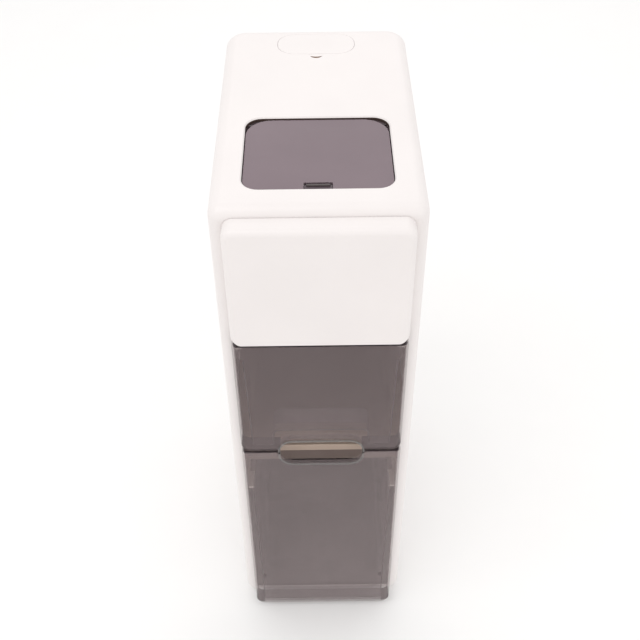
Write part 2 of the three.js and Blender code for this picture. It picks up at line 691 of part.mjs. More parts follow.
function chamberDeck() {
  const span = [INSIDE_FRONT, SHELL_BACK - WALL - 6];
  const plate = block([-INSIDE_HALF, INSIDE_HALF], span, [DECK_BOTTOM, DECK_TOP]);
  const heights = [DECK_BOTTOM - 1, DECK_TOP + 1];
  const drop = block([-CHAMBER_HALF, CHAMBER_HALF], CHAMBER_Y, heights);
  const reach = SCREW_PULLEY_RADIUS + FLANGE_RISE + 2;
  const slot = block([-reach, reach], [PULLEY_Y - 2, PULLEY_Y + PULLEY_WIDTH + 2], heights);
  return insideCabinet(plate.subtract(drop).subtract(slot));
}

function chamberLiner() {
  const heights = [DECK_TOP + GAP, COLLAR_BOTTOM - GAP];
  const half = CHAMBER_HALF + CHAMBER_WALL;
  const rear = RAM_Y + RAM_THICK;
  const outside = block([-half, half], [CHAMBER_Y[0] - CHAMBER_WALL, rear], heights);
  const inner = [-CHAMBER_HALF, CHAMBER_HALF];
  return outside.subtract(block(inner, [CHAMBER_Y[0], rear + 1], [DECK_BOTTOM, HEIGHT]));
}

// The ram's frame has its origin on the screw's axis at the ram's face.
function ramPlate() {
  const half = CHAMBER_HALF - SLIDE;
  let plate = block([-half, half], [0, RAM_THICK], [-RAM_HALF_HEIGHT, RAM_HALF_HEIGHT]);
  for (const sx of [-1, 1]) {
    for (const sz of [-1, 1]) {
      const xs = [sx * RAM_RIB, sx * (half - RAM_RIB)].sort((a, b) => a - b);
      const zs = [sz * RAM_RIB, sz * (RAM_HALF_HEIGHT - RAM_RIB)].sort((a, b) => a - b);
      plate = plate.subtract(block(xs, [RAM_SKIN, RAM_THICK + 1], zs));
    }
  }
  plate = plate.add(bar('y', TUBE_RADIUS + RAM_RIB, [RAM_SKIN - 1, RAM_THICK], [0, 0]));
  for (const x of [-ROD_OFFSET, ROD_OFFSET]) {
    plate = plate.add(bar('y', ROD_RADIUS + RAM_RIB, [RAM_SKIN - 1, RAM_THICK], [x, 0], 20));
  }
  return plate;
}

function ramTube() {
  const span = [RAM_THICK + GAP, RAM_THICK + GAP + TUBE_LENGTH];
  return bar('y', TUBE_RADIUS, span, [0, 0]).subtract(bar('y', TUBE_BORE, [0, 2 * TUBE_LENGTH], [0, 0]));
}

function driveNut() {
  const from = RAM_THICK + TUBE_LENGTH + 2 * GAP;
  const flange = bar('y', NUT_RADIUS, [from, from + NUT_LENGTH], [0, 0], 6);
  return flange.subtract(bar('y', SCREW_RADIUS + RUN, [0, 2 * TUBE_LENGTH], [0, 0]));
}

function guideRod() {
  return bar('y', ROD_RADIUS, [RAM_THICK + GAP, RAM_THICK + GAP + ROD_LENGTH], [0, 0], 20);
}

function guideBlock() {
  const span = [GUIDE_Y, GUIDE_Y + GUIDE_THICK];
  const top = RAM_Z + TUBE_RADIUS + GUIDE_CROWN;
  let frame = block([-GUIDE_HALF, GUIDE_HALF], span, [DECK_TOP + GAP, top]);
  const through = [GUIDE_Y - 1, GUIDE_Y + GUIDE_THICK + 1];
  frame = frame.subtract(bar('y', TUBE_RADIUS + RUN, through, [0, RAM_Z]));
  for (const x of [-ROD_OFFSET, ROD_OFFSET]) {
    frame = frame.subtract(bar('y', ROD_RADIUS + RUN, through, [x, RAM_Z], 20));
  }
  const archHeights = [DECK_TOP + ARCH_EDGE, RAM_Z - TUBE_RADIUS - ARCH_EDGE];
  const arch = block([ARCH_EDGE, GUIDE_HALF - ARCH_EDGE], through, archHeights);
  return frame.subtract(arch).subtract(arch.mirror([1, 0, 0]));
}

function bearingBlock() {
  const half = BEARING_RADIUS + BEARING_CHEEK;
  const body = block([-half, half], [BLOCK_Y, BLOCK_Y + BEARING_THICK], [DECK_TOP + GAP, RAM_Z + half]);
  const through = [BLOCK_Y - 1, BLOCK_Y + BEARING_THICK + 1];
  return body.subtract(bar('y', BEARING_RADIUS + GAP, through, [0, RAM_Z]));
}

function thrustBearing() {
  const ring = bar('y', BEARING_RADIUS, [BLOCK_Y + 1, BLOCK_Y + BEARING_THICK - 1], [0, RAM_Z]);
  return ring.subtract(bar('y', JOURNAL_RADIUS + RUN, [BLOCK_Y, BLOCK_Y + BEARING_THICK], [0, RAM_Z]));
}

function leadScrew() {
  const front = GUIDE_Y + 2;
  const shoulder = BLOCK_Y - GAP;
  const end = PULLEY_Y + PULLEY_WIDTH;
  return turned([
    [0, front],
    [SCREW_RADIUS - SCREW_CHAMFER, front],
    [SCREW_RADIUS, front + SCREW_CHAMFER],
    [SCREW_RADIUS, shoulder],
    [JOURNAL_RADIUS, shoulder],
    [JOURNAL_RADIUS, end],
    [0, end],
  ]);
}

// A flanged pulley along y from 0, with a bore of zero for one that is solid with its shaft.
function pulley(radius, bore, shaft = 0) {
  const rim = radius + FLANGE_RISE;
  const near = PULLEY_FLANGE;
  const far = PULLEY_WIDTH - PULLEY_FLANGE;
  const profile = [[rim, 0], [rim, near], [radius, near], [radius, far], [rim, far], [rim, PULLEY_WIDTH]];
  if (bore > 0) return turned([[bore, 0], ...profile, [bore, PULLEY_WIDTH], [bore, 0]]);
  const stub = [[0, -shaft], [JOURNAL_RADIUS, -shaft], [JOURNAL_RADIUS, 0]];
  return turned([...stub, ...profile, [0, PULLEY_WIDTH]]);
}

// The belt's loop round the two pulleys, at a distance outside their grooves.
function beltOutline(grow) {
  const top = SCREW_PULLEY_RADIUS + grow;
  const bottom = MOTOR_PULLEY_RADIUS + grow;
  const tilt = Math.asin((SCREW_PULLEY_RADIUS - MOTOR_PULLEY_RADIUS) / BELT_RISE);
  const loop = new THREE.Shape();
  loop.absarc(0, BELT_RISE, top, -tilt, Math.PI + tilt, false);
  loop.absarc(0, 0, bottom, Math.PI + tilt, 2 * Math.PI - tilt, false);
  loop.closePath();
  return loop;
}

function driveBelt() {
  const span = [PULLEY_Y + PULLEY_FLANGE + GAP, PULLEY_Y + PULLEY_WIDTH - PULLEY_FLANGE - GAP];
  const loop = beltOutline(RUN + BELT_THICK);
  const outside = prism(loop, 'y', ...span, 5);
  const inside = prism(beltOutline(RUN), 'y', span[0] - 1, span[1] + 1, 5);
  return outside.subtract(inside).translate([0, 0, MOTOR_Z]);
}

function motorBracket() {
  const half = GEARBOX_RADIUS + BRACKET_EDGE;
  const low = MOTOR_Z - half;
  const high = DECK_BOTTOM - GAP;
  const plate = block([-half, half], [BRACKET_Y, BRACKET_Y + WALL], [low, high]);
  const flange = block([-half, half], [BRACKET_Y - GEARBOX_LENGTH, BRACKET_Y + WALL], [high - WALL, high]);
  const hole = bar('y', JOURNAL_RADIUS + RUN, [BRACKET_Y - 1, BRACKET_Y + WALL + 1], [0, MOTOR_Z], 20);
  return plate.add(flange).subtract(hole);
}

function gearbox() {
  const end = BRACKET_Y - GAP;
  return bar('y', GEARBOX_RADIUS, [end - GEARBOX_LENGTH, end], [0, MOTOR_Z]);
}

function driveMotor() {
  const end = BRACKET_Y - 2 * GAP - GEARBOX_LENGTH;
  const rear = end - MOTOR_LENGTH;
  const can = bar('y', MOTOR_RADIUS, [rear, end], [0, MOTOR_Z]);
  return can.add(bar('y', MOTOR_RADIUS / 3, [rear - MOTOR_CAP_LENGTH, rear + 1], [0, MOTOR_Z], 20));
}

// Sliding floor under the chamber

function dropShutter() {
  const span = [CHAMBER_Y[0] - SHUTTER_LAP, CHAMBER_Y[1] + SHUTTER_LAP];
  return block([-SHUTTER_HALF, SHUTTER_HALF], span, [SHUTTER_TOP - SHUTTER_THICK, SHUTTER_TOP]);
}

function shutterRail(side) {
  const inner = CHAMBER_HALF;
  const web = SHUTTER_HALF + SLIDE;
  const ledge = SHUTTER_TOP - SHUTTER_THICK - GAP;
  const outline = [
    [inner, ledge - RAIL_LEDGE],
    [web + RAIL_THICK, ledge - RAIL_LEDGE],
    [web + RAIL_THICK, SHUTTER_TOP],
    [web, SHUTTER_TOP],
    [web, ledge],
    [inner, ledge],
  ];
  const near = CHAMBER_Y[0] - SHUTTER_LAP - SLIDE;
  const far = CHAMBER_Y[1] + SHUTTER_LAP + SHUTTER_TRAVEL;
  return prism(polygon(outline.map(([x, z]) => [side * x, z])), 'y', near, far);
}

function shutterRack() {
  const from = CHAMBER_Y[0] - SHUTTER_LAP;
  const to = CHAMBER_Y[1] + SHUTTER_LAP + RACK_TAIL;
  const tip = RACK_ROOT - TOOTH_IN - TOOTH_OUT;
  const points = [[from, SHUTTER_TOP - SHUTTER_THICK - GAP], [from, RACK_ROOT]];
  const first = Math.ceil((from + TOOTH_ROOT - PINION_Y) / TOOTH_PITCH - 0.5);
  for (let k = first; PINION_Y + (k + 0.5) * TOOTH_PITCH < to - TOOTH_ROOT; k += 1) {
    const y = PINION_Y + (k + 0.5) * TOOTH_PITCH;
    points.push([y - TOOTH_ROOT / 2, RACK_ROOT], [y - TOOTH_TIP / 2, tip]);
    points.push([y + TOOTH_TIP / 2, tip], [y + TOOTH_ROOT / 2, RACK_ROOT]);
  }
  points.push([to, RACK_ROOT], [to, SHUTTER_TOP - SHUTTER_THICK - GAP]);
  return prism(polygon(points), 'x', RACK_X - RACK_WIDTH / 2, RACK_X + RACK_WIDTH / 2);
}

// The pinion in its own frame: axis along x through the origin, one tooth straight up.
function shutterPinion() {
  const root = PITCH_RADIUS - TOOTH_IN;
  const tip = PITCH_RADIUS + TOOTH_OUT;
  const flanks = [[root, -TOOTH_ROOT], [tip, -TOOTH_TIP], [tip, TOOTH_TIP], [root, TOOTH_ROOT]];
  const points = [];
  for (let k = 0; k < PINION_TEETH; k += 1) {
    const angle = Math.PI / 2 + (2 * Math.PI * k) / PINION_TEETH;
    for (const [radius, width] of flanks) {
      const turn = angle + Math.asin(width / 2 / radius);
      points.push([radius * Math.cos(turn), radius * Math.sin(turn)]);
    }
  }
  const gear = prism(polygon(points), 'x', RACK_X - RACK_WIDTH / 2, RACK_X + RACK_WIDTH / 2);
  return gear.add(bar('x', STUD_RADIUS, [SMALL_MOTOR_FACE + GAP, RACK_X], [0, 0], 16));
}

function shutterMotor() {
  const span = [SMALL_MOTOR_FACE - SMALL_MOTOR_LENGTH, SMALL_MOTOR_FACE];
  return bar('x', SMALL_MOTOR_RADIUS, span, [PINION_Y, PINION_Z], 24);
}

function shutterCrossMember() {
  const reach = PITCH_RADIUS + TOOTH_OUT + 2;
  const axis = [PINION_Y, PINION_Z];
  const face = SMALL_MOTOR_FACE;
  const half = SHUTTER_HALF + SLIDE + RAIL_THICK;
  const top = SHUTTER_TOP - SHUTTER_THICK - RAIL_LEDGE - 2 * GAP;
  const low = PINION_Z - reach - 1;
  const span = [PINION_Y - reach, PINION_Y + reach];
  const beam = block([-half, half], span, [low, top]);
  const side = RACK_WIDTH / 2 + SLIDE;
  const well = block([RACK_X - side, RACK_X + side], [span[0] - 1, span[1] + 1], [low + 2, top + 1]);
  const near = face - SMALL_MOTOR_LENGTH - GAP;
  const seat = bar('x', SMALL_MOTOR_RADIUS + GAP, [near, face + GAP], axis, 24);
  const shaft = bar('x', STUD_RADIUS + RUN, [face - 1, RACK_X], axis, 16);
  const slotHalf = 2 * STUD_RADIUS;
  const slotSpan = [PINION_Y - slotHalf, PINION_Y + slotHalf];
  const slot = block([near, RACK_X], slotSpan, [PINION_Z, top + 1]);
  return beam.subtract(well).subtract(seat).subtract(shaft).subtract(slot);
}

// Electrics and rear cover

function boardCorners() {
  const x = BOARD_HALF - BOSS_INSET;
  const low = BOARD_Z[0] + BOSS_INSET;
  const high = BOARD_Z[1] - BOSS_INSET;
  return [[-x, low], [x, low], [-x, high], [x, high]];
}

function controlBoard() {
  const near = BAY_WALL_Y + BAY_WALL_THICK + BOSS_LENGTH + GAP;
  const far = near + BOARD_THICK;
  const low = BOARD_Z[0];
  const sheet = block([-BOARD_HALF, BOARD_HALF], [near, far], BOARD_Z);
  const transformer = block([-36, -4], [far - 0.5, far + 22], [low + 24, low + 56]);
  const relay = block([8, 26], [far - 0.5, far + 15], [low + 24, low + 52]);
  const plug = block([-30, 24], [far - 0.5, far + 9], [low + 84, low + 94]);
  const capacitor = bar('y', 8, [far - 0.5, far + 20], [24, low + 72], 20);
  return sheet.add(transformer).add(relay).add(plug).add(capacitor);
}

function lidSwitch() {
  const x = WINDOW_HALF + COLLAR_RIM + GAP;
  const y = WINDOW_FRONT + WINDOW_RADIUS;
  const z = COLLAR_BOTTOM + SLIDE;
  const [width, length, height] = SWITCH_SIZE;
  const body = block([x, x + width], [y, y + length], [z, z + height]);
  const near = (width - SWITCH_BUTTON) / 2;
  const plungerX = [x + near, x + near + SWITCH_BUTTON];
  const plungerY = [y + SWITCH_BUTTON, y + 2 * SWITCH_BUTTON];
  return body.add(block(plungerX, plungerY, [z + height - 1, z + height + SWITCH_BUTTON]));
}

function rearCover() {
  const span = [SHELL_BACK + GAP, BODY_BACK];
  const outline = roundedRect(-COVER_HALF, COVER_HALF, COVER_BOTTOM, COVER_TOP, COVER_RADIUS);
  let cover = prism(outline, 'y', ...span);
  const through = [span[0] - 1, span[1] + 1];
  const sunk = [BODY_BACK - HEAD_THICK - GAP, through[1]];
  for (const [x, z] of coverScrewPlaces()) {
    cover = cover.subtract(bar('y', SCREW_SHANK + GAP, through, [x, z], 16));
    cover = cover.subtract(bar('y', SCREW_HEAD + GAP, sunk, [x, z], 20));
  }
  const inletX = [INLET_X - INLET_HALF - GAP, INLET_X + INLET_HALF + GAP];
  const inletZ = [INLET_Z - INLET_HEIGHT / 2 - GAP, INLET_Z + INLET_HEIGHT / 2 + GAP];
  cover = cover.subtract(block(inletX, through, inletZ));
  cover = cover.subtract(bar('y', BUTTON_RADIUS + RUN, through, [BUTTON_X, INLET_Z], 24));
  for (let row = 0; row < VENT_ROWS; row += 1) {
    for (const x of [-VENT_X, VENT_X]) {
      const z = MOTOR_Z - VENT_DROP + VENT_PITCH * row;
      cover = cover.subtract(block([x - VENT_HALF, x + VENT_HALF], through, [z, z + VENT_HEIGHT]));
    }
  }
  return cover;
}

function coverScrew() {
  const under = BODY_BACK - HEAD_THICK;
  const head = bar('y', SCREW_HEAD, [under, BODY_BACK], [0, 0], 20);
  return head.add(bar('y', SCREW_SHANK, [SHELL_BACK - WALL - 4, under + 1], [0, 0], 16));
}

function powerInlet() {
  const xs = [INLET_X - INLET_HALF, INLET_X + INLET_HALF];
  const zs = [INLET_Z - INLET_HEIGHT / 2, INLET_Z + INLET_HEIGHT / 2];
  const near = BODY_BACK - INLET_LENGTH;
  const body = block(xs, [near, BODY_BACK], zs);
  const mouthX = [xs[0] + INLET_WALL, xs[1] - INLET_WALL];
  const mouthZ = [zs[0] + INLET_WALL + 1, zs[1] - INLET_WALL - 1];
  const mouth = block(mouthX, [near + INLET_BACK, BODY_BACK + 1], mouthZ);
  let inlet = body.subtract(mouth);
  const span = [near + INLET_BACK - 1, near + INLET_BACK + BLADE_LENGTH];
  for (const [dx, dz] of BLADES) {
    const [x, z] = [INLET_X + dx, INLET_Z + dz];
    inlet = inlet.add(block([x - 1, x + 1], span, [z - 2, z + 2]));
  }
  return inlet;
}

function powerButton() {
  return bar('y', BUTTON_RADIUS, [BODY_BACK - BUTTON_LENGTH, BODY_BACK - GAP], [BUTTON_X, INLET_Z], 24);
}

// Assembly

const cabinet = groupAt(root, 0, 0, 0);
place(cabinet, 'outer_shell', outerShell(), FINISH.white);
place(cabinet, 'base_plinth', basePlinth(), FINISH.white);
for (const [corner, [x, y]] of Object.entries(footPlaces())) {
  place(groupAt(cabinet, x, y, 0), `foot_${corner}`, foot(), FINISH.rubber);
}
place(groupAt(cabinet, 0, FACE_Y, 0), 'front_fascia', frontFascia(), FINISH.white);
place(cabinet, 'divider_shelf', dividerShelf(), FINISH.ivory);
place(cabinet, 'bay_wall', bayWall(), FINISH.ivory);
for (const [side, sign] of [['left', -1], ['right', 1]]) {
  place(cabinet, `upper_rail_${side}`, drawerRail(UPPER_BIN, sign), FINISH.ivory);
  place(cabinet, `lower_rail_${side}`, drawerRail(LOWER_BIN, sign), FINISH.ivory);
  place(cabinet, `shutter_rail_${side}`, shutterRail(sign), FINISH.zinc);
}
place(cabinet, 'rear_cover', rearCover(), FINISH.ivory);
coverScrewPlaces().forEach(([x, z], index) => {
  place(groupAt(cabinet, x, 0, z), `rear_cover_screw_${index + 1}`, coverScrew(), FINISH.steel);
});

const pinY = WINDOW_REAR - HINGE_INSET;
const pinZ = HEIGHT - LID_DROP - BARREL_RADIUS;
const lidBottom = BARREL_RADIUS - LID_THICK;
place(cabinet, 'throat_collar', throatCollar(pinY, pinZ), FINISH.black);
place(cabinet, 'lid_gasket', lidGasket(pinZ + lidBottom - GAP), FINISH.rubber);
place(cabinet, 'lid_switch', lidSwitch(), FINISH.black);
const lid = groupAt(root, 0, pinY, pinZ);
const pinReach = WINDOW_HALF + PIN_SEAT;
place(lid, 'lid_hinge_pin', bar('x', PIN_RADIUS, [-pinReach, pinReach], [0, 0], 20), FINISH.steel);
place(lid, 'lid_window', lidWindow(pinY, lidBottom), FINISH.lid);
place(lid, 'lid_latch', lidLatch(pinY, lidBottom), FINISH.black);

const deodoriser = groupAt(root, 0, FILTER_Y, 0);
place(deodoriser, 'filter_housing', filterHousing(), FINISH.white);
place(deodoriser, 'filter_cartridge', filterCartridge(), FINISH.charcoal);
place(deodoriser, 'filter_cover', filterCover(), FINISH.white);

place(cabinet, 'chamber_deck', chamberDeck(), FINISH.zinc);
place(cabinet, 'chamber_liner', chamberLiner(), FINISH.steel);
place(cabinet, 'guide_block', guideBlock(), FINISH.zinc);
place(cabinet, 'bearing_block', bearingBlock(), FINISH.zinc);
place(cabinet, 'thrust_bearing', thrustBearing(), FINISH.steel);
place(cabinet, 'motor_bracket', motorBracket(), FINISH.zinc);
place(cabinet, 'gearbox', gearbox(), FINISH.zinc);
place(cabinet, 'drive_motor', driveMotor(), FINISH.steel);
place(cabinet, 'drive_belt', driveBelt(), FINISH.rubber);

const ram = groupAt(root, 0, RAM_Y, RAM_Z);
place(ram, 'ram_plate', ramPlate(), FINISH.steel);
place(ram, 'ram_tube', ramTube(), FINISH.steel);
place(ram, 'drive_nut', driveNut(), FINISH.brass);
place(groupAt(ram, -ROD_OFFSET, 0, 0), 'guide_rod_left', guideRod(), FINISH.steel);
place(groupAt(ram, ROD_OFFSET, 0, 0), 'guide_rod_right', guideRod(), FINISH.steel);

const screwAxis = groupAt(root, 0, 0, RAM_Z);
place(screwAxis, 'lead_screw', leadScrew(), FINISH.steel);
const screwPulley = pulley(SCREW_PULLEY_RADIUS, JOURNAL_RADIUS + RUN);
place(groupAt(screwAxis, 0, PULLEY_Y, 0), 'screw_pulley', screwPulley, FINISH.black);
const motorPulley = pulley(MOTOR_PULLEY_RADIUS, 0, PULLEY_Y - BRACKET_Y);
place(groupAt(root, 0, PULLEY_Y, MOTOR_Z), 'motor_pulley', motorPulley, FINISH.black);

place(cabinet, 'drop_shutter', dropShutter(), FINISH.steel);
place(cabinet, 'shutter_rack', shutterRack(), FINISH.black);
place(groupAt(root, 0, PINION_Y, PINION_Z), 'shutter_pinion', shutterPinion(), FINISH.brass);
place(cabinet, 'shutter_motor', shutterMotor(), FINISH.steel);
place(cabinet, 'shutter_cross_member', shutterCrossMember(), FINISH.ivory);

const drawers = groupAt(root, 0, FACE_Y, 0);
const upperRadii = [FRONT_LOW_RADIUS, FRONT_LOW_RADIUS, FRONT_TOP_RADIUS, FRONT_TOP_RADIUS];
place(drawers, 'upper_drawer_front', drawerFront(UPPER_BOTTOM, UPPER_TOP, upperRadii), FINISH.smoked);
place(drawers, 'upper_bin', upperBin(), FINISH.smoked);
place(drawers, 'grip_hood', gripHood(), FINISH.smoked);
place(drawers, 'lower_drawer_front', drawerFront(LOWER_BOTTOM, LOWER_TOP, upperRadii), FINISH.smoked);
place(drawers, 'lower_bin', lowerBin(), FINISH.smoked);

place(cabinet, 'control_board', controlBoard(), FINISH.board);
place(cabinet, 'power_inlet', powerInlet(), FINISH.black);
place(cabinet, 'power_button', powerButton(), FINISH.black);

export default root;
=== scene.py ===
# The looks of the slim trash compactor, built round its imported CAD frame.
# Metres, +Z up, drawer fronts towards -Y. Every place comes from the frame's own boxes.

import json
import math

import bmesh
import bpy
from mathutils import Matrix, Vector


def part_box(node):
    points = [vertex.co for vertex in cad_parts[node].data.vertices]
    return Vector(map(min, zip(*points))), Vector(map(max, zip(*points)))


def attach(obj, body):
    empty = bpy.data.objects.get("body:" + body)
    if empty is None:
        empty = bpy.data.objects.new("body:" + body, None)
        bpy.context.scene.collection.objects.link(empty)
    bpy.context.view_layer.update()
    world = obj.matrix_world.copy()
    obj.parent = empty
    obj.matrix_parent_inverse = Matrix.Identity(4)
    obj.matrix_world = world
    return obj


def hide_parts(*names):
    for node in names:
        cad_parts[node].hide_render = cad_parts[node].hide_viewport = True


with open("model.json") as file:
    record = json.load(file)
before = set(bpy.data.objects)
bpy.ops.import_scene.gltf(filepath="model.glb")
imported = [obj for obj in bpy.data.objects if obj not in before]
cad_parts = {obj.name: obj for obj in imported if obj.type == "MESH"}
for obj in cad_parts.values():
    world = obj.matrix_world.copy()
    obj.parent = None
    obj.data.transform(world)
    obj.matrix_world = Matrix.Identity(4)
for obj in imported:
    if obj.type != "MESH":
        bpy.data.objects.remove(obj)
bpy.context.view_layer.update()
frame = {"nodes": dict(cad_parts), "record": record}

MM = 0.001
ARC_STEPS = 10  # segments in each rounded corner
ROUND_STEPS = 6  # segments across each rounded edge
TINY = 0.02 * MM

# The cabinet's shape, as in the CAD source
WALL = 3 * MM
TOP_RADIUS = 17 * MM
PLAN_RADII = [16 * MM, 16 * MM, 30 * MM, 30 * MM]
BASE_RADIUS = 18 * MM
FACE_WALL = 3 * MM
FACE_EDGE = 8 * MM
WINDOW_RADIUS = 22 * MM
LIP = 1.2 * MM  # rounding round the openings
HANDLE_HALF = 60 * MM
HANDLE_LOW = 414 * MM
HANDLE_HIGH = 463 * MM
HANDLE_RIM = 3.5 * MM
RIM_PROUD = 2.5 * MM  # how far the handle's rim stands out of the drawer fronts
FRONT_RADIUS = 14 * MM  # lower corners of the drawer fronts, all corners of the fascia
FRONT_TOP_RADIUS = 5 * MM
OPENING_INSET = 1.5 * MM  # how much wider a drawer front is than the opening behind it, each side

COVER_RADIUS = 26.25 * MM  # deodoriser cover
NOTCH_RADIUS = 10 * MM
NOTCH_REACH = 2.5 * MM  # from the deodoriser cover to the middle of its thumb notch
CRESCENT_RADIUS = 9.4 * MM
CRESCENT_WIDTH = 4.2 * MM
CRESCENT_DEPTH = 2.2 * MM

SIDE_SEAM = 0.9 * MM  # gap round the lid, wider at its hinge
HINGE_SEAM = 1.5 * MM
LID_DROP = 3 * MM
LID_THICK = 3.2 * MM
LID_REAR_RADIUS = 34 * MM  # larger than the opening's, so that the corners clear it as the lid swings
BARREL_RADIUS = 3.35 * MM
BARREL_SHORT = 20.5 * MM  # how much sooner the barrel ends than the lid, each side
BARREL_BORE = 1.8 * MM

BIN_WALL = 2.2 * MM
FLANGE_THICK = 2.5 * MM
UPPER_BIN_HALVES = (100.2 * MM, 104.2 * MM)  # half widths at the floor and at the rim
LOWER_BIN_HALVES = (102.2 * MM, 105.6 * MM)
LOWER_BIN_RIM = 317 * MM
POCKET_HALF = 68 * MM  # finger pocket behind the handle
POCKET_TOP = 484 * MM
POCKET_DEPTH = 44 * MM

SHELF_THICK = 4 * MM
SHELF_LIP = 13 * MM
COVER_BORDER = 14 * MM  # how much the rear cover overlaps the service opening
WIDE = 0.2  # half length of a cutter that runs past the whole width


# Mesh helpers

def ring(x0, x1, y0, y1, radii):
    """The outline of a rounded rectangle, anticlockwise from its low corner."""
    corners = [(x0, y0, 1, 1), (x1, y0, -1, 1), (x1, y1, -1, -1), (x0, y1, 1, -1)]
    points = []
    for index, ((x, y, sx, sy), radius) in enumerate(zip(corners, radii)):
        radius = max(radius, TINY)
        for step in range(ARC_STEPS + 1):
            turn = math.radians(180 + 90 * index + 90 * step / ARC_STEPS)
            across, along = radius * math.cos(turn), radius * math.sin(turn)
            points.append((x + sx * radius + across, y + sy * radius + along))
    return points


def circle(cx, cy, radius, steps=48):
    turns = [2 * math.pi * step / steps for step in range(steps)]
    return [(cx + radius * math.cos(turn), cy + radius * math.sin(turn)) for turn in turns]


def place(axis, point, depth):
    a, b = point
    if axis == "x":
        return (depth, a, b)
    if axis == "y":
        return (a, depth, b)
    return (a, b, depth)


def loft(name, axis, layers):
    """A closed solid through rings of equal count, each given as (depth, points)."""
    mesh = bmesh.new()
    rows = [[mesh.verts.new(place(axis, point, depth)) for point in points] for depth, points in layers]
    count = len(rows[0])
    for low, high in zip(rows, rows[1:]):
        for index in range(count):
            after = (index + 1) % count
            mesh.faces.new((low[index], low[after], high[after], high[index]))
    mesh.faces.new(rows[0][::-1])
    mesh.faces.new(rows[-1])
    bmesh.ops.recalc_face_normals(mesh, faces=mesh.faces)
    data = bpy.data.meshes.new(name)
    mesh.to_mesh(data)
    mesh.free()
    piece = bpy.data.objects.new(name, data)
    bpy.context.collection.objects.link(piece)
    return piece


def rounded(name, axis, outline, near, far, near_round=TINY, far_round=TINY):
    """A prism of outline(inset), its ends rounded inwards, or flared outwards where negative."""
    layers = []
    for step in range(ROUND_STEPS + 1):
        turn = math.pi / 2 * step / ROUND_STEPS
        share = 1 - math.sin(turn)
        layers.append((near + abs(near_round) * (1 - math.cos(turn)), outline(near_round * share)))
    for step in range(ROUND_STEPS, -1, -1):
        turn = math.pi / 2 * step / ROUND_STEPS
        share = 1 - math.sin(turn)
        layers.append((far - abs(far_round) * (1 - math.cos(turn)), outline(far_round * share)))
    return loft(name, axis, layers)


def flared(axis, outline, depth, out, lip=LIP):
    """A cutter through a wall: its outer end flares, so that the hole gets a rounded edge."""
    sign = 1 if out > depth else -1
    layers = [(depth, outline(0))]
    for step in range(ROUND_STEPS + 1):
        turn = math.pi / 2 * step / ROUND_STEPS
        share = 1 - math.sin(turn + math.pi / 2)
        layers.append((out - sign * lip * math.cos(turn), outline(-lip * share)))
    layers[-1] = (out, outline(-lip))
    layers.append((out + sign * MM, outline(-lip)))
    return loft("cutter", axis, layers)


def combine(piece, others, how):
    for other in others:
        step = piece.modifiers.new("combine", "BOOLEAN")
        step.operation = how
        step.solver = "EXACT"
        step.object = other
        bpy.context.view_layer.objects.active = piece
        bpy.ops.object.modifier_apply(modifier=step.name)
        bpy.data.objects.remove(other)
    return piece


def cut(piece, *cutters):
    return combine(piece, cutters, "DIFFERENCE")


def join(piece, *others):
    return combine(piece, others, "UNION")


def keep(piece, *others):
    return combine(piece, others, "INTERSECT")


def box(xs, ys, zs, radius=TINY, axis="z"):
    spans = {"x": (ys, zs, xs), "y": (xs, zs, ys), "z": (xs, ys, zs)}
    (a0, a1), (b0, b1), (near, far) = spans[axis]
    return rounded("box", axis, rectangle(a0, a1, b0, b1, [radius] * 4), near, far)


def rectangle(a0, a1, b0, b1, radii):
    def outline(inset):
        return ring(a0 + inset, a1 - inset, b0 + inset, b1 - inset, [max(r - inset, TINY) for r in radii])
    return outline


def disc(cx, cy, radius):
    return lambda inset: circle(cx, cy, radius - inset)


def settle(piece, material, body, slot, *nodes, crease=32):
    """Cleans a piece's mesh, shades it, and ties it to the frame."""
    mesh = bmesh.new()
    mesh.from_mesh(piece.data)
    bmesh.ops.remove_doubles(mesh, verts=mesh.verts, dist=0.01 * MM)
    bmesh.ops.dissolve_degenerate(mesh, edges=mesh.edges, dist=0.005 * MM)
    bmesh.ops.recalc_face_normals(mesh, faces=mesh.faces)
    for edge in mesh.edges:
        sharp = len(edge.link_faces) == 2 and edge.calc_face_angle(0) > math.radians(crease)
        edge.smooth = not sharp
    for face in mesh.faces:
        face.smooth = True
    mesh.to_mesh(piece.data)
    mesh.free()
    weighted = piece.modifiers.new("weighted", "WEIGHTED_NORMAL")
    weighted.keep_sharp = True
    weighted.weight = 100
    piece.data.materials.clear()
    piece.data.materials.append(material)
    piece.name = "look_" + nodes[0] if nodes else piece.name
    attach(piece, body)
    if nodes:
        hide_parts(*nodes)
    return piece


def recolour(piece, material, chosen):
    """Gives another material to the faces that chosen(centre, normal) picks."""
    piece.data.materials.append(material)
    extra = len(piece.data.materials) - 1
    for face in piece.data.polygons:
        if chosen(face.center, face.normal):
            face.material_index = extra


# Materials

def nodes_of(name):
    material = bpy.data.materials.new(name)
    material.use_nodes = True
    tree = material.node_tree
    return material, tree, tree.nodes["Principled BSDF"]


def noise(tree, scale, detail=4.0, stretch=(1, 1, 1), kind="ShaderNodeTexNoise"):
    """A procedural texture in the piece's own space, in cycles per metre."""
    where = tree.nodes.new("ShaderNodeTexCoord")
    mapping = tree.nodes.new("ShaderNodeMapping")
    mapping.inputs["Scale"].default_value = stretch
    texture = tree.nodes.new(kind)
    texture.inputs["Scale"].default_value = scale
    if "Detail" in texture.inputs:
        texture.inputs["Detail"].default_value = detail
    tree.links.new(where.outputs["Object"], mapping.inputs["Vector"])
    tree.links.new(mapping.outputs["Vector"], texture.inputs["Vector"])
    return texture


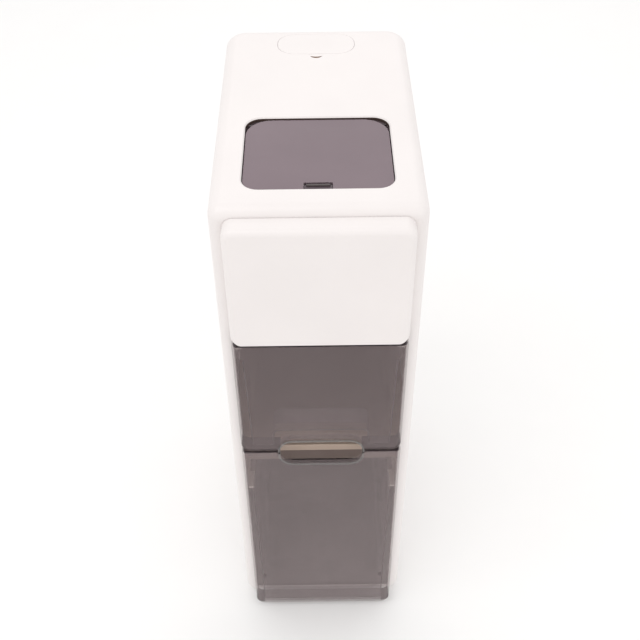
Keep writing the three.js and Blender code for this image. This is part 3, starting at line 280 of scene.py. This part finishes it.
def spread(tree, source, low, high, output=0):
    span = tree.nodes.new("ShaderNodeMapRange")
    span.inputs["From Min"].default_value = 0.3
    span.inputs["From Max"].default_value = 0.7
    span.inputs["To Min"].default_value = low
    span.inputs["To Max"].default_value = high
    tree.links.new(source.outputs[output], span.inputs["Value"])
    return span.outputs["Result"]


def blend_colors(tree, factor, first, second):
    mix = tree.nodes.new("ShaderNodeMix")
    mix.data_type = "RGBA"
    tree.links.new(factor, mix.inputs["Factor"])
    for socket, value in ((mix.inputs["A"], first), (mix.inputs["B"], second)):
        if isinstance(value, tuple):
            socket.default_value = (*value, 1)
        else:
            tree.links.new(value, socket)
    return mix.outputs["Result"]


def edge_wear(tree, color, worn, amount):
    """Rubs the raised edges a little towards another colour."""
    geometry = tree.nodes.new("ShaderNodeNewGeometry")
    ramp = tree.nodes.new("ShaderNodeMapRange")
    ramp.inputs["From Min"].default_value = 0.51
    ramp.inputs["From Max"].default_value = 0.60
    ramp.inputs["To Max"].default_value = amount
    tree.links.new(geometry.outputs["Pointiness"], ramp.inputs["Value"])
    return blend_colors(tree, ramp.outputs["Result"], color, worn)


def finish_material(name, color, roughness, metallic=0.0, tone=0.03, grain=1800, grain_depth=0.02,
                    stretch=(1, 1, 1), worn=None, wear=0.25, alpha=1.0, coat=0.0,
                    kind="ShaderNodeTexNoise"):
    material, tree, shader = nodes_of(name)
    darker = tuple(channel * (1 - tone) for channel in color)
    lighter = tuple(min(channel * (1 + tone), 1.0) for channel in color)
    broad = noise(tree, 9.0, 3.0)
    tinted = blend_colors(tree, spread(tree, broad, 0, 1), darker, lighter)
    if worn:
        tinted = edge_wear(tree, tinted, worn, wear)
    tree.links.new(tinted, shader.inputs["Base Color"])
    smudge = noise(tree, 24.0, 5.0)
    low, high = roughness
    tree.links.new(spread(tree, smudge, low, high), shader.inputs["Roughness"])
    if grain_depth:
        fine = noise(tree, grain, 2.0, stretch, kind)
        bump = tree.nodes.new("ShaderNodeBump")
        bump.inputs["Strength"].default_value = grain_depth
        bump.inputs["Distance"].default_value = 0.2 * MM
        tree.links.new(fine.outputs[0], bump.inputs["Height"])
        tree.links.new(bump.outputs["Normal"], shader.inputs["Normal"])
    shader.inputs["Metallic"].default_value = metallic
    shader.inputs["Alpha"].default_value = alpha
    shader.inputs["Coat Weight"].default_value = coat
    shader.inputs["Coat Roughness"].default_value = 0.08
    return material


WHITE = finish_material("white_plastic", (0.80, 0.757, 0.745), (0.30, 0.40), tone=0.012, grain=420,
                        grain_depth=0.02)
IVORY = finish_material("inner_plastic", (0.78, 0.70, 0.655), (0.42, 0.55), tone=0.03, grain=1500,
                        grain_depth=0.08)
SMOKED = finish_material("smoked_plastic", (0.29, 0.232, 0.235), (0.24, 0.30), tone=0.04,
                         grain_depth=0, alpha=0.25)
SMOKED_LOW = finish_material("smoked_plastic_low", (0.36, 0.295, 0.298), (0.24, 0.30), tone=0.04,
                             grain_depth=0, alpha=0.25)
# Near-black painted shade: the shadowed gaps between the drawer fronts, and the darkening along the bin
# walls' thickness seen through the fronts
SMOKED_PAINTED_SHADE = finish_material("smoked_painted_shade", (0.030, 0.020, 0.024), (0.30, 0.38), tone=0.05,
                              grain_depth=0, alpha=0.85)
SMOKED_RIM = finish_material("smoked_rim", (0.225, 0.215, 0.210), (0.16, 0.22), tone=0.04,
                             grain_depth=0, alpha=0.62)
LID = finish_material("lid_plastic", (0.215, 0.158, 0.180), (0.08, 0.14), tone=0.05,
                      grain_depth=0, alpha=0.82)
BLACK = finish_material("black_plastic", (0.055, 0.041, 0.041), (0.32, 0.46), tone=0.15, grain=1400,
                        grain_depth=0.12, worn=(0.10, 0.09, 0.09), wear=0.35)
# A darker, warmer copy of the inner plastic: painted shade on the divider shelf, which sits in shadow
# behind the handle hole
SHELF_PAINTED_SHADE = finish_material("shelf_plastic_painted_shade", (0.50, 0.385, 0.312), (0.42, 0.55), tone=0.05, grain=900,
                        grain_depth=0.05, worn=(0.72, 0.60, 0.50), wear=0.3)
LATCH = finish_material("latch_plastic", (0.075, 0.052, 0.062), (0.45, 0.58), tone=0.10, grain=1400,
                        grain_depth=0.10)
# Painted shade: the shelf's upright front face, darker than its top because less light falls on it
SHELF_FRONT_PAINTED_SHADE = finish_material("shelf_front_painted_shade", (0.175, 0.128, 0.112), (0.5, 0.6), tone=0.05, grain=900,
                              grain_depth=0.05)
COLLAR = finish_material("throat_collar", (0.22, 0.165, 0.18), (0.35, 0.45), tone=0.05, grain=900,
                         grain_depth=0.05)
BLUED = finish_material("blued_steel", (0.10, 0.08, 0.085), (0.35, 0.45), 0.6, tone=0.10, grain=220,
                        grain_depth=0.08, stretch=(1, 24, 24))
SHADE = finish_material("notch_shade", (0.40, 0.29, 0.24), (0.45, 0.55), tone=0.05, grain=900,
                        grain_depth=0.05)
# Near-black painted shade for the shadowed gap at the hinge side of the feed opening
GAP_SHADE = finish_material("window_gap_shade", (0.060, 0.036, 0.030), (0.6, 0.75), tone=0.1, grain=900,
                       grain_depth=0.1)
RUBBER = finish_material("rubber", (0.022, 0.021, 0.022), (0.72, 0.88), tone=0.2, grain=2600,
                         grain_depth=0.3, worn=(0.07, 0.07, 0.07), wear=0.3)
STEEL = finish_material("steel", (0.60, 0.595, 0.585), (0.22, 0.36), 1.0, tone=0.06, grain=220,
                        grain_depth=0.10, stretch=(1, 24, 24), worn=(0.78, 0.78, 0.77), wear=0.4)
ZINC = finish_material("zinc", (0.50, 0.515, 0.53), (0.36, 0.55), 1.0, tone=0.14, grain=260,
                       grain_depth=0.12, worn=(0.66, 0.67, 0.68), wear=0.4, kind="ShaderNodeTexVoronoi")
BRASS = finish_material("brass", (0.62, 0.45, 0.19), (0.22, 0.38), 1.0, tone=0.10, grain=500,
                        grain_depth=0.08, stretch=(24, 1, 24), worn=(0.80, 0.64, 0.34), wear=0.4)
CHARCOAL = finish_material("charcoal", (0.035, 0.034, 0.036), (0.85, 0.98), tone=0.35, grain=520,
                           grain_depth=0.9, kind="ShaderNodeTexVoronoi")
BOARD = finish_material("circuit_board", (0.035, 0.12, 0.055), (0.28, 0.45), tone=0.25, grain=260,
                        grain_depth=0.4, stretch=(3, 1, 0.4), kind="ShaderNodeTexVoronoi", coat=0.3)

BY_SLOT = {
    "white_plastic": WHITE,
    "inner_plastic": IVORY,
    "smoked_plastic": SMOKED,
    "lid_plastic": LID,
    "black_plastic": BLACK,
    "rubber": RUBBER,
    "steel": STEEL,
    "zinc": ZINC,
    "brass": BRASS,
    "charcoal": CHARCOAL,
    "circuit_board": BOARD,
}


# Cabinet

def cabinet_outline(inset):
    low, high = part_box("outer_shell")
    radii = [max(radius - inset, 1.5 * MM) for radius in PLAN_RADII]
    return ring(low.x + inset, high.x - inset, low.y + inset, high.y - inset, radii)


def window_outline(inset):
    low, high = window_box
    return ring(low.x + inset, high.x - inset, low.y + inset, high.y - inset, [WINDOW_RADIUS - inset] * 4)


def cover_outline(grow):
    """The deodoriser cover's outline, or its opening's, at a distance outside the CAD cover."""
    low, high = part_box("filter_cover")
    radii = [COVER_RADIUS + grow] * 4
    return rectangle(low.x - grow, high.x + grow, low.y - grow, high.y + grow, radii)


def thumb_crescent():
    """A narrow crescent along the front of the thumb notch."""
    low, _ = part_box("filter_cover")
    radius = CRESCENT_RADIUS
    cy = low.y - NOTCH_REACH
    near = [math.radians(200 + 140 * step / 24) for step in range(25)]
    outer = [(radius * math.cos(turn), cy + radius * math.sin(turn)) for turn in near]
    ends = outer[0][1]
    inner = []
    for x, y in reversed(outer[1:-1]):
        share = (ends - y) / (ends - (cy - radius))
        inner.append((x, y + CRESCENT_WIDTH * share))
    return outer + inner


def outer_shell():
    low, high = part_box("outer_shell")
    shell = rounded("shell", "z", cabinet_outline, low.z, high.z, 0.6 * MM, TOP_RADIUS)
    inside = rounded("inside", "z", lambda inset: cabinet_outline(WALL + inset), low.z - MM,
                     high.z - WALL, TINY, TOP_RADIUS - WALL)
    opening_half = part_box("upper_drawer_front")[1].x - OPENING_INSET
    opening_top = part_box("front_fascia")[0].z - 6 * MM
    opening = box((-opening_half, opening_half), (low.y - MM, low.y + WALL + MM),
                  (low.z - MM, opening_top))
    feed = flared("z", window_outline, high.z - WALL - MM, high.z, 1.6 * MM)
    cover = flared("z", cover_outline(0.4 * MM), high.z - WALL - MM, high.z, 0.45 * MM)
    cover_low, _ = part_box("filter_cover")
    notch_y = cover_low.y - NOTCH_REACH
    notch = flared("z", disc(0, notch_y, NOTCH_RADIUS), high.z - 0.4 * MM, high.z, 0.4 * MM)
    hollow = high.z - CRESCENT_DEPTH
    crescent = loft("crescent", "z", [(hollow, thumb_crescent()), (high.z, thumb_crescent())])
    back_low, back_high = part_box("rear_cover")
    service = box((back_low.x + COVER_BORDER, back_high.x - COVER_BORDER),
                  (high.y - WALL - MM, high.y + MM),
                  (back_low.z + COVER_BORDER, back_high.z - COVER_BORDER), 4 * MM, "y")
    cut(shell, inside, opening, feed, cover, notch, crescent, service)
    settle(shell, WHITE, "cabinet", "white_plastic", "outer_shell")
    reach = NOTCH_RADIUS + MM
    recolour(shell, SHADE, lambda at, out: hollow - 0.1 * MM < at.z < high.z - 0.5 * MM
             and abs(at.x) < reach and notch_y - reach < at.y < cover_low.y - MM)


def base_plinth():
    low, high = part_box("base_plinth")
    plinth = rounded("plinth", "z", cabinet_outline, low.z, high.z, BASE_RADIUS, 0.6 * MM)
    inside = rounded("inside", "z", lambda inset: cabinet_outline(WALL + inset), low.z + WALL + MM,
                     high.z + MM, BASE_RADIUS - WALL, TINY)
    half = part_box("lower_drawer_front")[1].x - OPENING_INSET
    mouth = box((-half, half), (low.y - MM, low.y + WALL + MM), (low.z + 10 * MM, high.z + MM))
    cut(plinth, inside, mouth)
    for corner in ("front_left", "front_right", "rear_left", "rear_right"):
        foot_low, foot_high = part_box("foot_" + corner)
        middle = (foot_low + foot_high) / 2
        cut(plinth, rounded("hole", "z", disc(middle.x, middle.y, 3.4 * MM), low.z - MM, low.z + 8 * MM))
    settle(plinth, WHITE, "cabinet", "white_plastic", "base_plinth")


def feet():
    for corner in ("front_left", "front_right", "rear_left", "rear_right"):
        name = "foot_" + corner
        low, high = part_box(name)
        middle = (low + high) / 2
        radius = (high.x - low.x) / 2
        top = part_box("base_plinth")[0].z
        pad = rounded(name, "z", disc(middle.x, middle.y, radius), low.z, top - 0.2 * MM,
                      1.2 * MM, 0.6 * MM)
        groove = rounded("groove", "z", disc(middle.x, middle.y, radius * 0.62),
                         low.z - MM, low.z + 0.7 * MM)
        plug = rounded("plug", "z", disc(middle.x, middle.y, radius * 0.50), low.z, low.z + MM, 0.3 * MM)
        stud = rounded("stud", "z", disc(middle.x, middle.y, 3 * MM), top - 2 * MM, high.z, TINY, 0.8 * MM)
        join(cut(pad, groove), plug, stud)
        settle(pad, RUBBER, "cabinet", "rubber", name)


def face_outline(x_half, low, high, low_radius, high_radius, low_edge, high_edge):
    """A front's outline in X and Z; low_edge and high_edge are each end's share of an inset."""
    def outline(inset):
        radii = [max(low_radius - inset, TINY)] * 2 + [max(high_radius - inset, TINY)] * 2
        bottom, top = low + inset * low_edge, high - inset * high_edge
        return ring(-x_half + inset, x_half - inset, bottom, top, radii)
    return outline


def tray(name, outline, low, high):
    """A front's solid, its long edges rounded at the face, and the hollow that opens it at the back."""
    front, back = low.y, high.y
    solid = rounded(name, "y", outline, front, back, FACE_EDGE, 0.4 * MM)
    hollow = rounded("hollow", "y", lambda inset: outline(FACE_WALL + inset), front + FACE_WALL, back + MM,
                     FACE_EDGE - FACE_WALL, TINY)
    return solid, hollow


def front_fascia():
    low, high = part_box("front_fascia")
    outline = face_outline(high.x, low.z, high.z, FRONT_RADIUS, FRONT_RADIUS, 0.12, 1.0)
    solid, hollow = tray("fascia", outline, low, high)
    cut(solid, hollow)
    settle(solid, WHITE, "cabinet", "white_plastic", "front_fascia")


def handle_outline(grow):
    return rectangle(-HANDLE_HALF - grow, HANDLE_HALF + grow, HANDLE_LOW - grow, HANDLE_HIGH + grow,
                     [(HANDLE_HIGH - HANDLE_LOW) / 2 * 0.82 + grow] * 4)


def drawer_front(node, body, material, low_edge, high_edge, tunnel_depth):
    low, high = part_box(node)
    face = low.y + RIM_PROUD
    start = Vector((low.x, face, low.z))
    outline = face_outline(high.x, low.z, high.z, FRONT_RADIUS, FRONT_TOP_RADIUS, low_edge, high_edge)
    solid, hollow = tray(node, outline, start, high)
    rim = rounded("rim", "y", handle_outline(HANDLE_RIM), low.y, face + RIM_PROUD, 1.7 * MM)
    tunnel = rounded("tunnel", "y", handle_outline(2.2 * MM), face + MM, face + tunnel_depth,
                     TINY, 0.8 * MM)
    span = box((-0.1, 0.1), (low.y - MM, high.y), (low.z + 0.3 * MM, high.z - 0.3 * MM))
    handle = keep(join(rim, tunnel), span)
    hole = flared("y", handle_outline(0), high.y + MM, low.y, 1.4 * MM)
    cut(join(cut(solid, hollow), handle), hole)
    settle(solid, material, body, "smoked_plastic", node)
    recolour(solid, SMOKED_RIM, lambda at, out: at.y < face - 0.3 * MM)
    # Painted shade: the top faces and the outer bottom edges of each front are painted near-black for the
    # shadowed gap between the fronts
    recolour(solid, SMOKED_PAINTED_SHADE, lambda at, out: out.y > -0.35 and (
        out.z < -0.25 and at.z < low.z + FRONT_RADIUS and abs(at.x) > HANDLE_HALF + 5 * MM
        or out.z > 0.7 and at.z > high.z - MM))


# Bins

def bin_walls(name, low, high, halves):
    """A drafted bin, open at the top and at its front, from its CAD box and half widths."""
    half_low, half_high = halves

    def section(z):
        share = (z - low.z) / (high.z - low.z)
        return half_low + share * (half_high - half_low)

    def solid(label, inset, floor, lid):
        corners = [TINY, TINY, 4 * MM, 4 * MM]
        near = low.y - MM if inset else low.y
        layers = []
        for z in (floor, floor + 1.2 * MM, floor + 4 * MM, lid):
            tuck = {floor: 3 * MM, floor + 1.2 * MM: 1.1 * MM}.get(z, 0)
            half = section(z) - inset - tuck
            shape = rectangle(-half, half, near, high.y - inset - tuck, corners)
            layers.append((z, shape(0)))
        return loft(label, "z", layers)

    return cut(solid(name, 0, low.z, high.z),
               solid("hollow", BIN_WALL, low.z + BIN_WALL, high.z + BIN_WALL))


def bin_flange(low, high, inner, rim, start):
    """The side flanges, flat strips with a rounded upper edge."""
    pieces = []
    for side in (-1, 1):
        xs = sorted((side * inner, side * high.x))
        flange = rounded("flange", "z", rectangle(xs[0], xs[1], start, high.y, [1.5 * MM] * 4),
                         rim - FLANGE_THICK, rim, TINY, 0.8 * MM)
        pieces.append(flange)
    return pieces


def paint_shade_on_front_ends(body, low):
    """Paints the cut ends of a bin's walls, seen through its front, near-black: painted shade for the
    darkening along the walls' thickness.
    """
    recolour(body, SMOKED_PAINTED_SHADE, lambda at, out: out.y < -0.5 and at.y < low.y + MM)


def upper_bin():
    low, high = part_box("upper_bin")
    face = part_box("upper_drawer_front")[0].y + RIM_PROUD
    body = bin_walls("upper", low, high, UPPER_BIN_HALVES)
    depth = face + POCKET_DEPTH
    half = POCKET_HALF
    corner = 10 * MM

    def pocket(grow, near):
        radii = [TINY, TINY, corner + grow, corner + grow]
        outline = rectangle(-half - grow, half + grow, low.z - 4 * MM, POCKET_TOP + grow, radii)
        return rounded("pocket", "y", outline, near, depth + grow, TINY, 3 * MM)

    start = low.y + 0.4 * MM
    hood = keep(pocket(BIN_WALL, start),
                box((-WIDE, WIDE), (start, high.y), (low.z + 0.4 * MM, high.z)))
    join(body, hood)
    cut(body, pocket(0, low.y - 8 * MM))
    join(body, *bin_flange(low, high, 103 * MM, high.z, face + FACE_EDGE))
    settle(body, SMOKED, "upper_drawer", "smoked_plastic", "upper_bin", "grip_hood")
    paint_shade_on_front_ends(body, low)


def lower_bin():
    low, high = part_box("lower_bin")
    rim = LOWER_BIN_RIM
    body = bin_walls("lower", low, high, LOWER_BIN_HALVES)
    near = low.y + 27 * MM
    far = low.y + 57 * MM
    above = high.z + MM
    sides = [(near, above), (far, rim), (high.y + MM, rim), (high.y + MM, above)]
    slope = loft("slope", "x", [(x, sides) for x in (-WIDE, WIDE)])
    cut(body, slope)
    join(body, *bin_flange(low, high, 104 * MM, rim, far + 0.5 * MM))
    settle(body, SMOKED_LOW, "lower_drawer", "smoked_plastic", "lower_bin")
    paint_shade_on_front_ends(body, low)


def divider_shelf():
    low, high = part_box("divider_shelf")
    thick = SHELF_THICK
    lip_low = high.z - SHELF_LIP
    front_radius = PLAN_RADII[0] - WALL + 0.5 * MM
    outline = rectangle(low.x, high.x, low.y, high.y, [front_radius, front_radius, TINY, TINY])
    shelf = rounded("shelf", "z", outline, lip_low, high.z, 0.4 * MM, 0.8 * MM)
    hollow = box((low.x + thick, high.x - thick), (low.y + thick, high.y - thick),
                 (lip_low - MM, high.z - thick))
    setback = 0.3 * MM
    apron = box((low.x + front_radius, high.x - front_radius), (low.y + setback, low.y + thick),
                (low.z, lip_low + MM))
    join(cut(shelf, hollow), apron)
    # The shelf takes the darker copy of the inner plastic as painted shade
    settle(shelf, SHELF_PAINTED_SHADE, "cabinet", "inner_plastic", "divider_shelf")
    # Painted shade: the front faces of the apron are painted darker than the shelf's top
    recolour(shelf, SHELF_FRONT_PAINTED_SHADE, lambda at, out: out.y < -0.5 and at.z < lip_low and at.y < low.y + MM)


# Lid, latch and deodoriser cover

def lid():
    low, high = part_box("lid_window")
    pin_low, pin_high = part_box("lid_hinge_pin")
    pin = (pin_low + pin_high) / 2
    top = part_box("outer_shell")[1].z - LID_DROP
    front_radius = WINDOW_RADIUS - HINGE_SEAM
    radii = [front_radius, front_radius, LID_REAR_RADIUS, LID_REAR_RADIUS]
    bottom = top - LID_THICK
    plate = rounded("lid", "z", rectangle(low.x, high.x, low.y, high.y, radii), bottom, bottom + LID_THICK,
                    0.5 * MM, 0.9 * MM)
    barrel_half = high.x - BARREL_SHORT
    barrel = rounded("barrel", "x", disc(pin.y, pin.z, BARREL_RADIUS), -barrel_half, barrel_half,
                     0.6 * MM, 0.6 * MM)
    bore = rounded("bore", "x", disc(pin.y, pin.z, BARREL_BORE), -WIDE, WIDE)
    latch_low, latch_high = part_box("lid_latch")
    notch = box((latch_low.x - 0.4 * MM, latch_high.x + 0.4 * MM), (low.y - MM, latch_high.y + 5 * MM),
                (bottom - MM, bottom + LID_THICK + MM), 1.2 * MM)
    cut(join(plate, barrel), bore, notch)
    settle(plate, LID, "lid", "lid_plastic", "lid_window")


def window_gap_shade():
    """A thin dark strip along the hinge side of the feed opening: painted shade for the shadowed gap behind
    the lid.
    """
    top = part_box("outer_shell")[1].z
    span = (top - 5.5 * MM, top - 1.7 * MM)
    past = (span[0] - MM, span[1] + MM)
    seal = rounded("window_gap_shade", "z", lambda inset: window_outline(0.05 * MM + inset), *span,
                   0.1 * MM, 0.1 * MM)
    inside = rounded("inside", "z", lambda inset: window_outline(0.4 * MM + inset), *past)
    front = box((-WIDE, WIDE), (window_low.y - 5 * MM, window_high.y - 26 * MM), past)
    settle(cut(seal, inside, front), GAP_SHADE, "cabinet", "rubber")


def latch():
    low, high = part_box("lid_latch")
    base_top = high.z - 1.8 * MM
    tab = rounded("latch", "z", rectangle(low.x, high.x, low.y, high.y, [1.2 * MM] * 4), low.z, base_top,
                  0.3 * MM, 0.6 * MM)
    bar_low = high.y - 3.4 * MM
    bar_outline = rectangle(low.x + 2.5 * MM, high.x - 2.5 * MM, bar_low, high.y, [1.4 * MM] * 4)
    grip = rounded("grip", "z", bar_outline, base_top - MM, high.z, TINY, 0.7 * MM)
    join(tab, grip)
    for row in range(3):
        y = low.y + (1.8 + 1.5 * row) * MM
        rib = rounded("rib", "x", lambda inset, y=y: circle(y, base_top - 0.1 * MM, 0.45 * MM - inset, 12),
                      low.x + 4 * MM, high.x - 4 * MM, 0.2 * MM, 0.2 * MM)
        join(tab, rib)
    settle(tab, BLACK, "latch", "black_plastic", "lid_latch")
    recolour(tab, LATCH, lambda at, out: at.z < base_top + 0.4 * MM and at.y < bar_low)


def filter_cover():
    low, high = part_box("filter_cover")
    cover = rounded("cover", "z", cover_outline(0.1 * MM), low.z, high.z, 0.3 * MM, 0.5 * MM)
    settle(cover, WHITE, "deodoriser", "white_plastic", "filter_cover")


# Back of the cabinet

def rear_cover():
    low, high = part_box("rear_cover")
    outline = rectangle(low.x, high.x, low.z, high.z, [8 * MM] * 4)
    cover = rounded("back", "y", outline, low.y, high.y, 0.3 * MM, 1.4 * MM)
    for number in range(1, 5):
        head_low, head_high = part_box("rear_cover_screw_%d" % number)
        middle = (head_low + head_high) / 2
        cut(cover, rounded("seat", "y", disc(middle.x, middle.z, 3.7 * MM), high.y - 1.9 * MM, high.y + MM),
            rounded("hole", "y", disc(middle.x, middle.z, 2.1 * MM), low.y - MM, high.y + MM))
    motor = (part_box("motor_pulley")[0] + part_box("motor_pulley")[1]) / 2
    for row in range(7):
        for x in (-42 * MM, 42 * MM):
            z = motor.z + (-40 + 12 * row) * MM
            slot = flared("y", rectangle(x - 30 * MM, x + 30 * MM, z, z + 4 * MM, [1.9 * MM] * 4),
                          low.y - MM, high.y, 0.7 * MM)
            cut(cover, slot)
    inlet_low, inlet_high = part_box("power_inlet")
    edge = 0.35 * MM
    cut(cover, rounded("inlet", "y", rectangle(inlet_low.x - edge, inlet_high.x + edge, inlet_low.z - edge,
                                               inlet_high.z + edge, [MM] * 4), low.y - MM, high.y + MM))
    button_low, button_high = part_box("power_button")
    middle = (button_low + button_high) / 2
    cut(cover, rounded("button", "y", disc(middle.x, middle.z, 7.4 * MM), low.y - MM, high.y + MM))
    settle(cover, IVORY, "cabinet", "inner_plastic", "rear_cover")


def cover_screws():
    for number in range(1, 5):
        name = "rear_cover_screw_%d" % number
        low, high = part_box(name)
        middle = (low + high) / 2
        under = high.y - 1.5 * MM
        head = rounded(name, "y", disc(middle.x, middle.z, 3.3 * MM), under, high.y, TINY, 0.7 * MM)
        shank = rounded("shank", "y", disc(middle.x, middle.z, 1.8 * MM), low.y, under + 0.5 * MM, 0.8 * MM)
        join(head, shank)
        for turn in (0.35, 0.35 + math.pi / 2):
            along = (math.cos(turn), math.sin(turn))
            layers = []
            ends = ((high.y - 1.0 * MM, 1.1 * MM, 0.25 * MM), (high.y + MM, 2.3 * MM, 0.5 * MM))
            for depth, reach, half in ends:
                corners = [(-reach, -half), (reach, -half), (reach, half), (-reach, half)]
                points = [(middle.x + a * along[0] - b * along[1], middle.z + a * along[1] + b * along[0])
                          for a, b in corners]
                layers.append((depth, points))
            cut(head, loft("cross", "y", layers))
        settle(head, STEEL, "cabinet", "steel", name)


def power_inlet():
    low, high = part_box("power_inlet")
    near, far = low.y, high.y
    body = rounded("inlet", "y", rectangle(low.x, high.x, low.z, high.z, [MM] * 4), near, far,
                   0.4 * MM, 0.6 * MM)
    mouth_outline = rectangle(low.x + 2.2 * MM, high.x - 2.2 * MM, low.z + 3.2 * MM, high.z - 3.2 * MM,
                              [5 * MM, 5 * MM, 1.5 * MM, 1.5 * MM])
    mouth = flared("y", mouth_outline, near + 6 * MM, far, 0.6 * MM)
    cut(body, mouth)
    middle = (low + high) / 2
    settle(body, BLACK, "cabinet", "black_plastic", "power_inlet")
    for index, (x, z) in enumerate(((-7, -2), (0, 3), (7, -2))):
        cx, cz = middle.x + x * MM, middle.z + z * MM
        blade = rounded("inlet_blade_%d" % index, "y",
                        rectangle(cx - MM, cx + MM, cz - 2 * MM, cz + 2 * MM, [0.4 * MM] * 4),
                        near + 5.6 * MM, near + 16 * MM, TINY, 0.6 * MM)
        settle(blade, BRASS, "cabinet", "brass")


def power_button():
    low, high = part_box("power_button")
    middle = (low + high) / 2
    button = rounded("button", "y", disc(middle.x, middle.z, 6.95 * MM), low.y, high.y, 0.3 * MM, 1.2 * MM)
    dish = rounded("dish", "y", disc(middle.x, middle.z, 4.6 * MM), high.y - 0.5 * MM, high.y + MM,
                   0.4 * MM)
    cut(button, dish)
    settle(button, BLACK, "button", "black_plastic", "power_button")


def dress_cad_nodes():
    """Every CAD node that stays gets the material of its slot, save the throat collar and the hinge pin,
    which get materials of their own.
    """
    for entry in frame["record"]["subparts"]:
        node = frame["nodes"][entry["node"]]
        node.data.materials.clear()
        node.data.materials.append(BY_SLOT[entry["material_slot"]])
    frame["nodes"]["throat_collar"].data.materials[0] = COLLAR
    frame["nodes"]["lid_hinge_pin"].data.materials[0] = BLUED


# Stage

def studio():
    world = bpy.data.worlds.new("studio")
    world.use_nodes = True
    background = world.node_tree.nodes["Background"]
    background.inputs["Color"].default_value = (1, 0.995, 0.99, 1)
    background.inputs["Strength"].default_value = 1.0
    bpy.context.scene.world = world
    bpy.context.scene.view_settings.view_transform = "Standard"
    lamps = {
        "key": ((-0.9, -0.9, 2.7), 1.8, 10),
        "fill": ((1.6, -1.9, 1.5), 2.0, 4),
        "back": ((0.2, 1.8, 2.2), 2.0, 4),
    }
    aim = Vector((0, 0, 0.5))
    for name, (spot, size, power) in lamps.items():
        lamp = bpy.data.lights.new(name, "AREA")
        lamp.shape = "DISK"
        lamp.size = size
        lamp.energy = power
        holder = bpy.data.objects.new(name, lamp)
        holder.location = spot
        holder.rotation_euler = (aim - Vector(spot)).to_track_quat("-Z", "Y").to_euler()
        bpy.context.collection.objects.link(holder)
    mesh = bpy.data.meshes.new("floor")
    reach = 6.0
    corners = [(-reach, -reach, 0), (reach, -reach, 0), (reach, reach, 0), (-reach, reach, 0)]
    mesh.from_pydata(corners, [], [(0, 1, 2, 3)])
    floor = bpy.data.objects.new("floor", mesh)
    mesh.materials.append(finish_material("floor", (0.93, 0.925, 0.92), (0.6, 0.7), tone=0.004, grain=40))
    bpy.context.collection.objects.link(floor)


def camera():
    """The photograph's view: from above the front, 44 degrees down, with a slight roll."""
    down, roll, yaw = (math.radians(value) for value in (44.09, 0.58, 0.22))
    forward = Vector((math.sin(yaw) * math.cos(down), math.cos(yaw) * math.cos(down), -math.sin(down)))
    right = Vector((math.cos(yaw), -math.sin(yaw), 0))
    below = forward.cross(right)
    turned_right = right * math.cos(roll) + below * math.sin(roll)
    turned_down = below * math.cos(roll) - right * math.sin(roll)
    matrix = Matrix((turned_right, -turned_down, -forward)).transposed().to_4x4()
    matrix.translation = Vector((-3.28, -1121.16, 1564.46)) * MM
    lens = bpy.data.cameras.new("camera")
    lens.lens = 54.42
    lens.sensor_width = 36
    lens.clip_start = 0.05
    holder = bpy.data.objects.new("camera", lens)
    holder.matrix_world = matrix
    bpy.context.collection.objects.link(holder)
    bpy.context.scene.camera = holder


window_low, window_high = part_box("lid_window")
window_box = (window_low - Vector((SIDE_SEAM, SIDE_SEAM, 0)),
              window_high + Vector((SIDE_SEAM, HINGE_SEAM, 0)))

camera()
studio()
dress_cad_nodes()
outer_shell()
base_plinth()
feet()
front_fascia()
drawer_front("upper_drawer_front", "upper_drawer", SMOKED, 0.35, 0.12, 12 * MM)
drawer_front("lower_drawer_front", "lower_drawer", SMOKED_LOW, 0.6, 0.25, 5 * MM)
upper_bin()
lower_bin()
divider_shelf()
lid()
window_gap_shade()
latch()
filter_cover()
rear_cover()
cover_screws()
power_inlet()
power_button()
